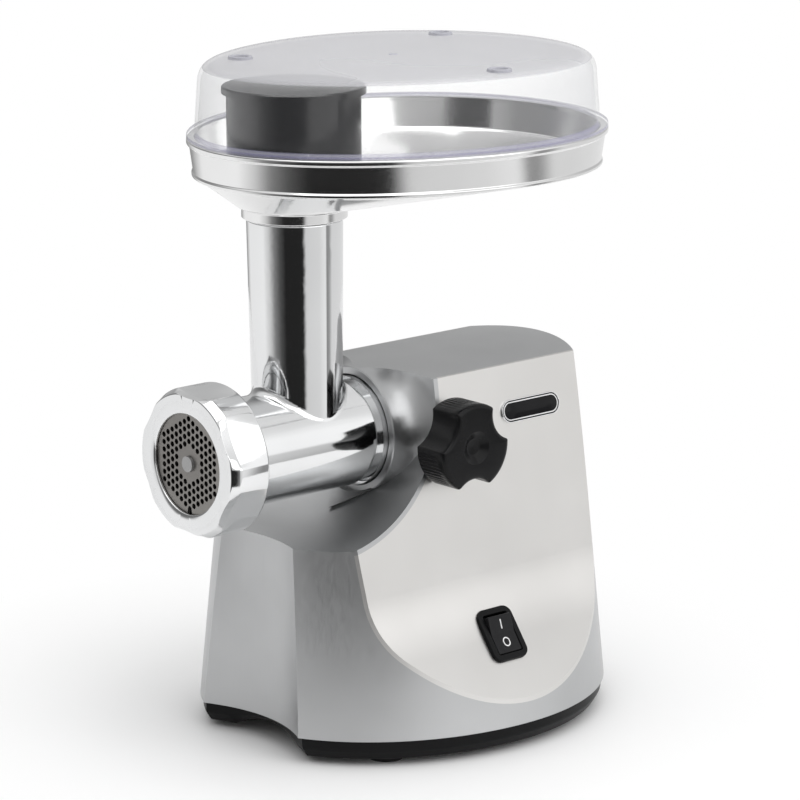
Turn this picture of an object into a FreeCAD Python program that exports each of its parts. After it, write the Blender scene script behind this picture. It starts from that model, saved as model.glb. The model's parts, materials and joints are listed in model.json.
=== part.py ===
import FreeCAD, Part
import Sketcher
import math
import os

# Electric meat grinder, millimetres.  +Z is up, the outlet and the cutting plate face -Y, and the
# clamp knob and the switch are on the +X side.  The origin is the middle of the machine's footprint
# on the resting plane.  Lengths along Y are given from the perforated plate's front face, and
# frame_shift carries every part from there to the origin.

Vector = FreeCAD.Vector
Rotation = FreeCAD.Rotation
Placement = FreeCAD.Placement

doc = FreeCAD.newDocument("meat_grinder")
sheet = doc.addObject("Spreadsheet::Sheet", "dims")

# Driving dimensions: alias, value in millimetres (angles in degrees, teeth as counts), meaning.
DIMENSIONS = [
    ("frame_shift", 137.0, "distance from the plate's front face back to the origin"),
    ("skirt_low", 15.0, "height of the casing's lower edge"),
    ("skirt_half_width", 104.0, "casing half width at its lower edge"),
    ("skirt_front", 125.0, "front half length of the plan ellipse"),
    ("skirt_rear", 118.0, "rear half length of the plan ellipse"),
    ("plan_mid", 155.0, "y of the plan ellipse's widest line"),
    ("skirt_draft", 0.0975, "inward taper per millimetre of height"),
    ("loft_top", 212.0, "height the raw casing body is lofted to"),
    ("top_edge", 199.0, "height of the casing's top side edges"),
    ("top_crown", 3.0, "rise of the top from its side edges to the middle"),
    ("top_half_width", 43.0, "half width of the top at its edges"),
    ("side_slope", 0.205, "outward slope of the upper side panel"),
    ("flare_slope", 0.78, "outward slope of the lower side panel"),
    ("flare_x", 81.0, "x of a point on the lower side slope"),
    ("flare_z", 57.0, "height of that point"),
    ("flare_radius", 80.0, "radius between the two side slopes"),
    ("panel_skin", 1.5, "thickness of the brushed side panels"),
    ("panel_rim", 2.6, "width of the casing's rim ahead of the side panels"),
    ("wall", 2.6, "casing wall"),
    ("scoop_axis", -37.5, "y of the vertical axis of the hollow front"),
    ("bib_radius", 86.9, "radius of the hollow front below the ledge"),
    ("ledge", 117.5, "height of the ledge under the cutting head"),
    ("ledge_flat", 104.0, "radius where the ledge starts to curve up"),
    ("scoop_fillet", 74.5, "radius of the curve from the ledge to the upright front"),
    ("boss_front", 113.5, "y of the outlet boss's front face"),
    ("boss_radius", 35.4, "outlet boss radius before it flares"),
    ("boss_flare", 20.0, "radius of the flare from the outlet boss to the front"),
    ("chin_reach", 41.5, "distance of the pointed chin under the outlet from its axis"),
    ("chin_stand", 1.4, "how far the chin stands out of the hollow front"),
    ("boss_back", 151.0, "y of the outlet boss's inner end"),
    ("collar_bore", 30.8, "outlet collar bore radius"),
    ("collar_radius", 34.0, "outlet collar outer radius"),
    ("head_axis", 166.6, "height of the cutting head's axis"),
    ("neck_radius", 30.4, "radius of the head's neck in the collar"),
    ("neck_back", 147.0, "y of the neck's rear face"),
    ("barrel_radius", 29.6, "barrel outer radius"),
    ("barrel_bore", 24.4, "barrel bore radius"),
    ("plate_seat", 27.6, "radius of the cutting plate's seat"),
    ("plate_radius", 31.0, "perforated plate radius"),
    ("plate_thick", 5.0, "perforated plate thickness"),
    ("plate_hole", 1.5, "radius of the plate's holes"),
    ("plate_pitch", 4.1, "hole pitch of the plate"),
    ("plate_hub", 9.0, "solid hub radius of the plate"),
    ("plate_field", 26.2, "radius that the holes stay inside"),
    ("pin_radius", 4.3, "auger's front pin radius"),
    ("nut_radius", 40.8, "ring nut outer radius"),
    ("nut_face", 37.6, "radius of the ring nut's flat front face"),
    ("nut_waist", 36.4, "radius left under the ring nut's thumb hollows"),
    ("nut_scallop", 66.0, "radius of the ring nut's thumb hollows"),
    ("nut_front", -2.2, "y of the ring nut's front face"),
    ("nut_back", 22.0, "y of the ring nut's rear face"),
    ("nut_opening", 27.0, "radius of the ring nut's opening"),
    ("nut_thread", 34.4, "radius of the ring nut's threaded bore"),
    ("nose_radius", 34.0, "radius of the head's threaded nose"),
    ("tube_axis", 74.0, "y of the feed tube's axis"),
    ("tube_top", 290.0, "height of the feed tube's mouth"),
    ("tube_radius", 26.0, "feed tube outer radius at the mouth"),
    ("tube_foot_radius", 24.4, "feed tube outer radius at the barrel"),
    ("tube_bore", 22.6, "feed tube bore radius"),
    ("tray_mid", 144.6, "y of the tray's centre"),
    ("tray_long", 122.0, "half length of the tray's rim"),
    ("tray_wide", 102.0, "half width of the tray's rim"),
    ("tray_egg", 0.1, "how much wider the tray's rear half is"),
    ("tray_rim", 330.8, "height of the tray's rim"),
    ("tray_band", 19.5, "height of the tray's upright band"),
    ("tray_wall", 1.8, "tray sheet thickness"),
    ("collar_height", 2.0, "gap between the tube's mouth and the tray's underside"),
    ("cover_top", 371.0, "height of the cover's top"),
    ("cover_wall", 1.8, "cover thickness"),
    ("cover_inset", 6.0, "how far the cover's top is inside its flange"),
    ("cover_feet", 3.4, "height of the cover's stacking rings"),
    ("pusher_radius", 36.0, "pusher drum radius"),
    ("pusher_lip", 38.6, "pusher lid radius"),
    ("pusher_top", 361.5, "height of the pusher lid"),
    ("pusher_low", 303.0, "height of the pusher drum's underside"),
    ("pusher_stem", 20.4, "pusher stem radius"),
    ("pusher_end", 214.0, "height of the pusher stem's end"),
    ("base_low", 3.6, "height of the base's underside"),
    ("base_inset", 1.6, "how far the base stands inside the casing's edge"),
    ("base_tuck", 5.0, "how far the base's underside stands further in"),
    ("foot_radius", 11.0, "rubber foot radius"),
    ("knob_y", 136.3, "y of the clamp's axis"),
    ("knob_z", 166.6, "height of the clamp's axis"),
    ("knob_back", 55.4, "x of the knob's rear face"),
    ("knob_front", 77.0, "x of the knob's front face"),
    ("knob_radius", 24.3, "radius of the knob's lobes"),
    ("knob_waist", 17.5, "radius of the knob between its lobes"),
    ("knob_scallop", 16.7, "radius of the hollows between the lobes"),
    ("clamp_screw", 3.0, "clamp screw radius"),
    ("badge_y", 203.0, "y of the badge's centre"),
    ("badge_z", 173.5, "height of the badge's centre"),
    ("badge_long", 44.0, "badge length"),
    ("badge_high", 13.0, "badge height"),
    ("switch_y", 152.5, "y of the switch's centre"),
    ("switch_z", 59.0, "height of the switch's centre"),
    ("switch_wide", 25.0, "switch bezel width"),
    ("switch_tall", 31.0, "switch bezel height"),
    ("motor_axis", 72.0, "height of the motor's axis"),
    ("stator_front", 96.0, "y of the stator's front face"),
    ("stator_back", 134.0, "y of the stator's rear face"),
    ("stator_size", 62.0, "stator width and height"),
    ("rotor_radius", 17.6, "armature radius"),
    ("shaft_radius", 4.0, "motor shaft radius"),
    ("gear_plane_out", 164.0, "y of the output gear's front face"),
    ("gear_plane_mid", 178.0, "y of the middle gear pair's front face"),
    ("gear_plane_in", 192.0, "y of the first gear pair's front face"),
    ("gear_width", 11.0, "gear face width"),
    ("module_in", 1.0, "module of the first gear pair"),
    ("module_slow", 1.25, "module of the middle and last gear pairs"),
    ("pinion_teeth", 12.0, "motor pinion teeth"),
    ("first_teeth", 56.0, "first wheel teeth"),
    ("small_teeth", 12.0, "teeth of both layshaft pinions"),
    ("second_teeth", 40.0, "second wheel teeth"),
    ("output_teeth", 36.0, "output wheel teeth"),
    ("lay_offset", -6.0, "x of the second layshaft"),
    ("gland_z", 42.0, "height of the cord inlet"),
    ("gland_bore", 3.9, "cord inlet bore radius"),
]
for row, (alias, value, meaning) in enumerate(DIMENSIONS, start=1):
    sheet.set(f"A{row}", alias)
    sheet.set(f"B{row}", repr(value))
    sheet.set(f"C{row}", meaning)
    sheet.setAlias(f"B{row}", alias)
doc.recompute()


class Values:
    """Driving dimensions read back from the sheet as plain numbers."""

    def __getattr__(self, alias):
        return float(sheet.get(alias))


V = Values()
ALONG_X = Rotation(Vector(0, 1, 0), 90)      # local +Z to +X
ALONG_Y = Rotation(Vector(1, 0, 0), -90)     # local +Z to +Y
UPRIGHT = Rotation()
FIT = 0.05                                   # radial clearance of bores on their shafts and pins
FRAME = Placement(Vector(0, -V.frame_shift, 0), UPRIGHT)
NODES = {}


def keep(node, obj):
    """Give an object its node name and list it for export."""
    obj.Label = node
    NODES[node] = obj
    return obj


def d(text):
    """An expression with every dimension alias taken from the sheet."""
    words = []
    for word in str(text).replace("(", " ( ").replace(")", " ) ").split():
        is_alias = word.replace("_", "").isalnum() and not word[0].isdigit()
        words.append(f"dims.{word}" if is_alias else word)
    return " ".join(words)


def bind(obj, path, text):
    """Bind a property to an expression of the sheet's dimensions."""
    obj.setExpression(path, d(text))


def locate(obj, at=(0, 0, 0), turn=UPRIGHT):
    """Place an object; each coordinate is an expression."""
    obj.Placement = Placement(Vector(0, 0, 0), turn)
    for axis, text in zip("xyz", (at[0], f"{at[1]} - frame_shift", at[2])):
        if text != 0:
            bind(obj, f".Placement.Base.{axis}", text)
    return obj


def cylinder(name, radius, length, at=(0, 0, 0), turn=UPRIGHT):
    """A Part cylinder with bound radius, length and place."""
    obj = doc.addObject("Part::Cylinder", name)
    bind(obj, "Radius", radius)
    bind(obj, "Height", length)
    return locate(obj, at, turn)


def cone(name, radius_low, radius_high, length, at=(0, 0, 0), turn=UPRIGHT):
    """A Part cone with bound radii, length and place."""
    obj = doc.addObject("Part::Cone", name)
    bind(obj, "Radius1", radius_low)
    bind(obj, "Radius2", radius_high)
    bind(obj, "Height", length)
    return locate(obj, at, turn)


def fused(name, pieces):
    """The union of several objects."""
    obj = doc.addObject("Part::MultiFuse", name)
    obj.Shapes = pieces
    obj.Refine = True
    return obj


def cut(name, base, tools):
    """The base less the tools."""
    obj = doc.addObject("Part::Cut", name)
    obj.Base = base
    obj.Tool = tools[0] if len(tools) == 1 else fused(name + "_tools", tools)
    return obj


def grouped(name, pieces):
    """Separate solids kept in one node."""
    obj = doc.addObject("Part::Compound", name)
    obj.Links = pieces
    return obj


def feature(node, shape, place=Placement()):
    """A node whose shape is worked out here from the sheet's values."""
    obj = doc.addObject("Part::Feature", node)
    obj.Shape = shape
    obj.Placement = FRAME.multiply(place).multiply(shape.Placement)
    return keep(node, obj)


def origin_plane(body, role):
    """One of a body's own origin planes."""
    for item in body.Origin.OriginFeatures:
        if item.Role == role:
            return item
    raise ValueError(role)


def outline(body, name, points, role="XZ_Plane"):
    """A closed sketch whose corners are bound to the sheet."""
    sketch = body.newObject("Sketcher::SketchObject", name)
    sketch.AttachmentSupport = [(origin_plane(body, role), "")]
    sketch.MapMode = "FlatFace"
    places = [(number(a), number(b)) for a, b in points]
    count = len(places)
    for i in range(count):
        start = Vector(*places[i], 0)
        end = Vector(*places[(i + 1) % count], 0)
        sketch.addGeometry(Part.LineSegment(start, end), False)
    for i in range(count):
        sketch.addConstraint(Sketcher.Constraint("Coincident", i, 2, (i + 1) % count, 1))
    for i, (across, up) in enumerate(points):
        for kind, text, value in (("DistanceX", across, places[i][0]), ("DistanceY", up, places[i][1])):
            index = sketch.addConstraint(Sketcher.Constraint(kind, -1, 1, i, 1, value))
            sketch.setExpression(f"Constraints[{index}]", d(text))
    return sketch


def number(text):
    """The value of an expression of the sheet's dimensions."""
    names = {alias: float(sheet.get(alias)) for alias, _, _ in DIMENSIONS}
    total = 0.0
    sign = 1.0
    for word in str(text).split():
        if word == "+":
            sign = 1.0
        elif word == "-":
            sign = -1.0
        else:
            total += sign * (names[word] if word in names else float(word))
    return total


def turned(name, points, at=(0, 0, 0), turn=UPRIGHT):
    """A body turned from a closed profile of (radius, height) corners."""
    body = doc.addObject("PartDesign::Body", name)
    sketch = outline(body, name + "_profile", points)
    revolution = body.newObject("PartDesign::Revolution", name + "_turned")
    revolution.Profile = sketch
    revolution.ReferenceAxis = (sketch, ["V_Axis"])
    revolution.Angle = 360
    return locate(body, at, turn)


def revolved(node, points, at=(0, 0, 0), turn=UPRIGHT):
    """A node that is one turned body."""
    return keep(node, turned(node, points, at, turn))


# ---------------------------------------------------------------- casing surfaces

def plan_wire(height, inset):
    """The plan ellipse at a height: a shorter rear half joined to a longer front half."""
    taper = V.skirt_draft * (height - V.skirt_low) + inset
    half = V.skirt_half_width - taper
    mid = Vector(0, V.plan_mid, height)
    right = mid + Vector(half, 0, 0)
    left = mid - Vector(half, 0, 0)
    curves = []
    for length, sign, start, end in ((V.skirt_front, -1, left, right), (V.skirt_rear, 1, right, left)):
        depth = length - taper
        apex = mid + Vector(0, sign * depth, 0)
        if depth >= half:
            ellipse = Part.Ellipse(apex, right if sign < 0 else left, mid)
        else:
            ellipse = Part.Ellipse(right if sign < 0 else left, apex, mid)
        first = ellipse.parameter(start)
        last = ellipse.parameter(end)
        arc = Part.ArcOfEllipse(ellipse, first, last)
        if abs(arc.value((arc.FirstParameter + arc.LastParameter) / 2).sub(apex).Length) > 1.0:
            arc = Part.ArcOfEllipse(ellipse, last, first)
        curves.append(arc.toShape())
    return Part.Wire(Part.__sortEdges__(curves))


def side_profile(inset):
    """Corners and arc of the side panel's section in the XZ plane, moved in by an inset."""
    steep = math.hypot(1.0, V.side_slope)
    flared = math.hypot(1.0, V.flare_slope)
    # x = a + s * (z0 - z) for each line, moved in along its normal
    top_x = V.top_half_width - inset * steep
    low_x = V.flare_x - inset * flared
    meet_z = (low_x + V.flare_slope * V.flare_z - top_x - V.side_slope * V.top_edge)
    meet_z /= V.flare_slope - V.side_slope
    meet_x = top_x + V.side_slope * (V.top_edge - meet_z)
    turn = math.atan(V.flare_slope) - math.atan(V.side_slope)
    reach = (V.flare_radius + inset) * math.tan(turn / 2)
    upper = Vector(meet_x - V.side_slope / steep * reach, 0, meet_z + reach / steep)
    lower = Vector(meet_x + V.flare_slope / flared * reach, 0, meet_z - reach / flared)
    sagitta = (V.flare_radius + inset) * (1 / math.cos(turn / 2) - 1)
    bisector = (math.atan(V.flare_slope) + math.atan(V.side_slope)) / 2
    middle = Vector(meet_x + sagitta * math.cos(bisector), 0, meet_z + sagitta * math.sin(bisector))
    return top_x, low_x, upper, middle, lower


def side_tool(inset):
    """The material outside the right-hand side panel."""
    top_x, low_x, upper, middle, lower = side_profile(inset)
    high_z = V.loft_top + 20
    low_z = -20.0
    high = Vector(top_x + V.side_slope * (V.top_edge - high_z), 0, high_z)
    low = Vector(low_x + V.flare_slope * (V.flare_z - low_z), 0, low_z)
    outer_x = 260.0
    edges = [
        Part.LineSegment(high, upper).toShape(),
        Part.Arc(upper, middle, lower).toShape(),
        Part.LineSegment(lower, low).toShape(),
        Part.LineSegment(low, Vector(outer_x, 0, low_z)).toShape(),
        Part.LineSegment(Vector(outer_x, 0, low_z), Vector(outer_x, 0, high_z)).toShape(),
        Part.LineSegment(Vector(outer_x, 0, high_z), high).toShape(),
    ]
    solid = Part.Face(Part.Wire(edges)).extrude(Vector(0, 400, 0))
    solid.translate(Vector(0, V.plan_mid - 200, 0))
    return solid


def front_tool(inset):
    """The hollow front: a body of revolution about a vertical axis ahead of the casing."""
    flat = V.ledge_flat
    top = V.loft_top + 30
    centre_z = V.ledge - inset + V.scoop_fillet + inset
    radius = V.scoop_fillet + inset
    ledge_z = centre_z - radius
    bib = V.bib_radius + inset
    start = Vector(bib, 0, -30)
    corner = Vector(bib + 1.8, 0, ledge_z)
    foot = Vector(flat, 0, ledge_z)
    rise = Vector(flat + radius, 0, centre_z)
    half = radius * math.sqrt(0.5)
    middle = Vector(flat + half, 0, centre_z - half)
    edges = [
        Part.LineSegment(start, corner).toShape(),
        Part.LineSegment(corner, foot).toShape(),
        Part.Arc(foot, middle, rise).toShape(),
        Part.LineSegment(rise, Vector(rise.x, 0, top)).toShape(),
        Part.LineSegment(Vector(rise.x, 0, top), Vector(0, 0, top)).toShape(),
        Part.LineSegment(Vector(0, 0, top), Vector(0, 0, -30)).toShape(),
        Part.LineSegment(Vector(0, 0, -30), start).toShape(),
    ]
    solid = Part.Face(Part.Wire(edges)).revolve(Vector(0, 0, 0), Vector(0, 0, 1), 360)
    solid.translate(Vector(0, V.scoop_axis, 0))
    return solid


def top_tool(inset):
    """Everything above the gently crowned top."""
    radius = (V.top_half_width ** 2 + V.top_crown ** 2) / (2 * V.top_crown)
    axis_z = V.top_edge + V.top_crown - radius
    core = Part.makeCylinder(radius - inset, 460, Vector(0, -60, axis_z), Vector(0, 1, 0))
    slab = Part.makeBox(500, 460, 140, Vector(-250, -60, V.top_edge - 40))
    return slab.cut(core)


def side_tools(inset):
    """The material outside both side panels."""
    right = side_tool(inset)
    left = side_tool(inset)
    left.rotate(Vector(0, V.plan_mid, 0), Vector(0, 0, 1), 180)
    return [right, left]


def plan_loft(low, inset):
    """The raw casing body over its plan ellipse, from a height to the top."""
    return Part.makeLoft([plan_wire(low, inset), plan_wire(V.loft_top, inset)], True, True)


def casing_form(inset, side_inset, low):
    """The casing's outer form, with every face moved in by an inset."""
    form = plan_loft(low, inset).cut(side_tools(inset + side_inset) + [front_tool(inset), top_tool(inset)])
    return max(form.Solids, key=lambda s: s.Volume)


def side_x(height, inset=0.0):
    """Half width of the side panel's face at a height."""
    top_x, low_x, upper, middle, lower = side_profile(inset)
    if height >= upper.z:
        return top_x + V.side_slope * (V.top_edge - height)
    if height <= lower.z:
        return low_x + V.flare_slope * (V.flare_z - height)
    circle = Part.Arc(upper, middle, lower).toShape().Curve
    return circle.Center.x - math.sqrt(circle.Radius ** 2 - (height - circle.Center.z) ** 2)


def slope_frame(y, height, inset=0.0):
    """Placement on the right side panel: local +Z out of the face, +X along +Y, +Y up the slope."""
    step = 0.5
    rise = Vector(side_x(height + step, inset) - side_x(height - step, inset), 0, 2 * step)
    rise.normalize()
    along = Vector(0, 1, 0)
    out = along.cross(rise)
    matrix = FreeCAD.Matrix(
        along.x, rise.x, out.x, side_x(height, inset),
        along.y, rise.y, out.y, y,
        along.z, rise.z, out.z, height,
        0, 0, 0, 1)
    return Placement(matrix)


def rounded_plate(length, width, radius, thick, low=0.0):
    """A plate with rounded corners, centred on its own axis."""
    box = Part.makeBox(length, width, thick, Vector(-length / 2, -width / 2, low))
    upright = [e for e in box.Edges if abs(e.Vertexes[0].X - e.Vertexes[1].X) < 1e-6
               and abs(e.Vertexes[0].Y - e.Vertexes[1].Y) < 1e-6]
    return box.makeFillet(radius, upright)


def moved(shape, place):
    """A copy of a shape carried to a placement."""
    copy = shape.copy()
    copy.Placement = place.multiply(copy.Placement)
    return copy


# ---------------------------------------------------------------- casing, panels and base


def flared_boss():
    """The outlet boss: a tube that flares into the hollow front, with a pointed chin below."""
    flare = V.boss_flare
    land = 2.0
    bevel = 0.6
    start = V.boss_front + land
    low = Vector(V.boss_radius, start, 0)
    high = Vector(V.boss_radius + flare, start + flare, 0)
    diagonal = flare * math.sqrt(0.5)
    middle = Vector(high.x - diagonal, start + diagonal, 0)
    corners = [high, Vector(high.x, V.boss_back, 0), Vector(0, V.boss_back, 0), Vector(0, V.boss_front, 0),
               Vector(V.boss_radius - bevel, V.boss_front, 0),
               Vector(V.boss_radius, V.boss_front + bevel, 0), low]
    edges = [Part.Arc(low, middle, high).toShape()]
    edges += [Part.LineSegment(a, b).toShape() for a, b in zip(corners, corners[1:])]
    bell = Part.Face(Part.Wire(edges)).revolve(Vector(0, 0, 0), Vector(0, 1, 0), 360)
    bell.translate(Vector(0, 0, V.head_axis))
    half_angle = math.asin(V.boss_radius / V.chin_reach)
    side = math.sqrt(V.chin_reach ** 2 - V.boss_radius ** 2)
    touch = Vector(side * math.sin(half_angle), 0, V.head_axis - V.chin_reach + side * math.cos(half_angle))
    tip = Vector(0, 0, V.head_axis - V.chin_reach)
    outline = [tip, touch, Vector(-touch.x, 0, touch.z), tip]
    chin = Part.Face(Part.makePolygon(outline)).extrude(Vector(0, V.boss_back, 0))
    chin = chin.cut(front_tool(-V.chin_stand))
    return bell.fuse(chin)


outer_form = casing_form(0.0, V.panel_skin, V.skirt_low)
full_form = casing_form(0.0, 0.0, V.skirt_low)
open_depth = 4.0     # the inside form runs this far below the skirt, to leave the casing open
inner_form = casing_form(V.wall, V.panel_skin, V.skirt_low - open_depth)
skins = full_form.cut(outer_form).cut(front_tool(V.panel_rim))
boss = flared_boss().common(plan_loft(V.skirt_low, 0.0))
boss = boss.cut(side_tools(0.0) + [top_tool(0.0)])
casing = full_form.cut(skins).cut(inner_form).fuse(boss).cut(skins)
along_x = Vector(1, 0, 0)
along_y = Vector(0, 1, 0)
collar_start = Vector(0, V.boss_front - 5, V.head_axis)
casing = casing.cut(Part.makeCylinder(V.collar_radius, 60, collar_start, along_y))
insert_radius = 7.0
clamp_start = Vector(V.collar_radius, V.knob_y, V.knob_z)
clamp_hole = Part.makeCylinder(insert_radius + 0.02, 10, clamp_start - Vector(4, 0, 0), along_x)
clamp_hole = clamp_hole.fuse(Part.makeCylinder(V.clamp_screw + 0.5, 40, clamp_start, along_x))
bezel_corner = 5.5
well_step = 4.5      # how much smaller than the bezel the switch's cut-out is
switch_place = slope_frame(V.switch_y, V.switch_z)
switch_well = moved(rounded_plate(V.switch_wide - well_step, V.switch_tall - well_step, 1.5, 30, -24),
                    switch_place)
bezel_seat = moved(rounded_plate(V.switch_wide + 0.1, V.switch_tall + 0.1, bezel_corner, 6.0), switch_place)
gland_y = V.plan_mid + V.skirt_rear
gland_hole = Part.makeCylinder(7.0, 30, Vector(0, gland_y - 20, V.gland_z), along_y)
casing = casing.cut([clamp_hole, switch_well, gland_hole])
feature("housing_shell", casing)

badge_place = slope_frame(V.badge_y, V.badge_z)
for side in ("right", "left"):
    half_space = Part.makeBox(200, 400, 300, Vector(0 if side == "right" else -200, -50, -20))
    skin = skins.common(half_space)
    if side == "right":
        skin = skin.cut([clamp_hole, switch_well, bezel_seat])
    skin = max(skin.Solids, key=lambda s: s.Volume)
    feature(f"{side}_side_panel", skin)



def scoop_cylinder(radius):
    """A cylinder on the hollow front's axis, through the base."""
    return Part.makeCylinder(radius, 60, Vector(0, V.scoop_axis, -20))


base_low = V.base_low
rim_start = 6.0      # height of the base's tucked-in lower edge
floor_thick = 3.0
arch_radius = 60.0
arch_rise = 6.8
base_form = Part.makeLoft([plan_wire(base_low, V.base_inset + V.base_tuck),
                           plan_wire(base_low + rim_start, V.base_inset + 0.8),
                           plan_wire(V.skirt_low, V.base_inset)], True, True)
hollow = Part.makeLoft([plan_wire(base_low + floor_thick, V.base_inset + 9),
                        plan_wire(V.skirt_low + 1, V.base_inset + 6)], True, True)
hollow = hollow.cut(scoop_cylinder(V.bib_radius + 10))
arch = scoop_cylinder(V.bib_radius + 9).common(
    Part.makeCylinder(arch_radius, 80, Vector(0, 20, base_low + arch_rise - arch_radius), along_y))
base = base_form.cut(scoop_cylinder(V.bib_radius + V.base_inset)).cut(hollow).cut(arch)
foot_across = 62.0
foot_places = [(side * foot_across, y) for y in (84, 226) for side in (-1, 1)]
for x, y in foot_places:
    base = base.fuse(Part.makeCylinder(8.0, 11.4, Vector(x, y, base_low)))
    base = base.cut(Part.makeCylinder(3.0, 5.0, Vector(x, y, base_low - 1)))
slot_wide = 5.0
slot_pitch = 11.0
for step in range(-3, 4):
    slot_x = step * slot_pitch - slot_wide / 2
    base = base.cut(Part.makeBox(slot_wide, 60, 10, Vector(slot_x, 120, base_low - 2)))
feature("base_plate", base)

feet = []
for index, (x, y) in enumerate(foot_places):
    pad = cone(f"foot_pad_{index}", "foot_radius - 1.5", "foot_radius", "base_low", (x, y, 0))
    stud = cylinder(f"foot_stud_{index}", "2.9", "3.6", (x, y, "base_low"))
    feet.append(fused(f"foot_{index}", [pad, stud]))
keep("rubber_feet", grouped("rubber_feet", feet))


def screw_shape(head_radius, head_length, shank_radius, shank_length):
    """A round-headed screw with a cross recess, its shank along +Z from the head's seat."""
    head = Part.makeCylinder(head_radius, head_length, Vector(0, 0, -head_length))
    shank = Part.makeCylinder(shank_radius, shank_length)
    solid = head.fuse(shank)
    for angle in (0, 90):
        slot = Part.makeBox(head_radius * 1.2, 0.8, 1.0, Vector(-head_radius * 0.6, -0.4, -head_length))
        slot.rotate(Vector(0, 0, 0), Vector(0, 0, 1), angle)
        solid = solid.cut(slot)
    return solid


# ---------------------------------------------------------------- outlet, clamp, badge, switch, gland

collar = turned("outlet_collar_blank", [
    ("collar_bore + 0.5", "boss_front"), ("collar_radius", "boss_front"),
    ("collar_radius", "boss_back + 5.6"), ("collar_bore - 9.0", "boss_back + 5.6"),
    ("collar_bore - 9.0", "boss_back + 3.0"), ("collar_bore", "boss_back + 3.0"),
    ("collar_bore", "boss_front + 0.5")],
    (0, 0, "head_axis"), ALONG_Y)
pad_hole = cylinder("collar_pad_hole", "clamp_screw + 1.9", "20.0", ("26.0", "knob_y", "knob_z"), ALONG_X)
keep("outlet_collar", cut("outlet_collar", collar, [pad_hole]))

boss_nut = cylinder("insert_outer", f"{insert_radius}", "5.4", ("collar_radius + 0.4", "knob_y", "knob_z"),
                    ALONG_X)
boss_bore = cylinder("insert_bore", "clamp_screw + 0.1", "12.0", ("collar_radius", "knob_y", "knob_z"),
                     ALONG_X)
keep("clamp_insert", cut("clamp_insert", boss_nut, [boss_bore]))
revolved("clamp_pad", [
    ("0", "0"), ("clamp_screw + 0.4", "0"), ("clamp_screw + 1.5", "0.8"), ("clamp_screw + 1.5", "2.0"),
    ("0", "2.0")],
    ("neck_radius + 0.35", "knob_y", "knob_z"), ALONG_X)
revolved("clamp_screw", [
    ("0", "0"), ("clamp_screw - 0.6", "0"), ("clamp_screw", "0.8"), ("clamp_screw", "27.0"),
    ("clamp_screw - 0.8", "28.0"), ("0", "28.0")],
    ("neck_radius + 2.45", "knob_y", "knob_z"), ALONG_X)

knob_length = V.knob_front - V.knob_back
knob = Part.makeCylinder(V.knob_radius, knob_length)
knob = knob.makeChamfer(1.2, [e for e in knob.Edges if isinstance(e.Curve, Part.Circle)])
dish_radius = 14.0
knob = knob.cut(Part.makeSphere(dish_radius, Vector(0, 0, knob_length + dish_radius - 3.3)))
for step in range(3):
    angle = math.radians(60 + 120 * step)
    reach = V.knob_waist + V.knob_scallop
    centre = Vector(reach * math.cos(angle), reach * math.sin(angle), -1)
    knob = knob.cut(Part.makeCylinder(V.knob_scallop, knob_length + 2, centre))
knob = knob.fuse(Part.makeCylinder(11.0, 2.0, Vector(0, 0, -1.0)))
knob = knob.cut(Part.makeCylinder(V.clamp_screw + FIT, 9.4, Vector(0, 0, -1.5)))
# local +X is turned to point up, so that one lobe stands at the top
feature("clamp_knob", knob, Placement(Vector(V.knob_back, V.knob_y, V.knob_z),
                                      ALONG_X.multiply(Rotation(Vector(0, 0, 1), 180))))

badge = rounded_plate(V.badge_long, V.badge_high, V.badge_high / 2 - 0.01, 1.4, 0.02)
badge = badge.cut(rounded_plate(V.badge_long - 2, V.badge_high - 2, V.badge_high / 2 - 1.01, 1.0, 1.0))
feature("badge_plate", badge, badge_place)

bezel = rounded_plate(V.switch_wide, V.switch_tall, bezel_corner, 2.6, 0.02)
bezel = bezel.fuse(rounded_plate(V.switch_wide - 5, V.switch_tall - 5, 1.4, 10.0, -9.0))
bezel = bezel.cut(rounded_plate(V.switch_wide - 7.6, V.switch_tall - 7.6, 1.0, 20, -10))
pivot_low = -2.4
pivot_radius = 1.25
pin_reach = V.switch_wide / 2 - 3.3
pivot_start = Vector(-pin_reach, 0, pivot_low)
bezel = bezel.fuse(Part.makeCylinder(pivot_radius, 2 * pin_reach, pivot_start, along_x))
feature("switch_bezel", bezel, switch_place)
switch_body = rounded_plate(V.switch_wide - 5, V.switch_tall - 5, 1.4, 11, -20.2)
switch_body = switch_body.cut(rounded_plate(V.switch_wide - 9, V.switch_tall - 9, 1.0, 7, -16))
for offset in (-7, 0, 7):
    switch_body = switch_body.fuse(Part.makeBox(4.8, 0.8, 9, Vector(-2.4, offset - 0.4, -29)))
feature("switch_body", switch_body, switch_place)

# The rocker's top is two flats that meet over its pivot; the lower flat is pressed in at rest.
rocker_wide = V.switch_wide - 8.4
rocker_side = [(-11.4, -2.2), (-11.4, 2.2), (0, 2.4), (9.7, 5.5), (11.0, 0.9), (10.9, -2.6), (0, -7.0)]
rocker_corners = [Vector(-rocker_wide / 2, along_slope, out) for along_slope, out in rocker_side]
rocker = Part.Face(Part.makePolygon(rocker_corners + rocker_corners[:1])).extrude(Vector(rocker_wide, 0, 0))
rocker = rocker.cut(Part.makeCylinder(pivot_radius + FIT, 2 * pin_reach, pivot_start, along_x))
feature("rocker", rocker, switch_place)

gland = turned("cord_gland_blank", [
    ("gland_bore", "0"), ("9.0", "0"), ("9.0", "9.0"), ("9.4", "9.0"), ("9.4", "12.0"), ("7.4", "13.6"),
    ("gland_bore", "13.6")],
    (0, "plan_mid + skirt_rear - 10.4", "gland_z"), ALONG_Y)
keep("cord_gland", cut("cord_gland", gland, [NODES["housing_shell"]]))

# ---------------------------------------------------------------- gear train


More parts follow.
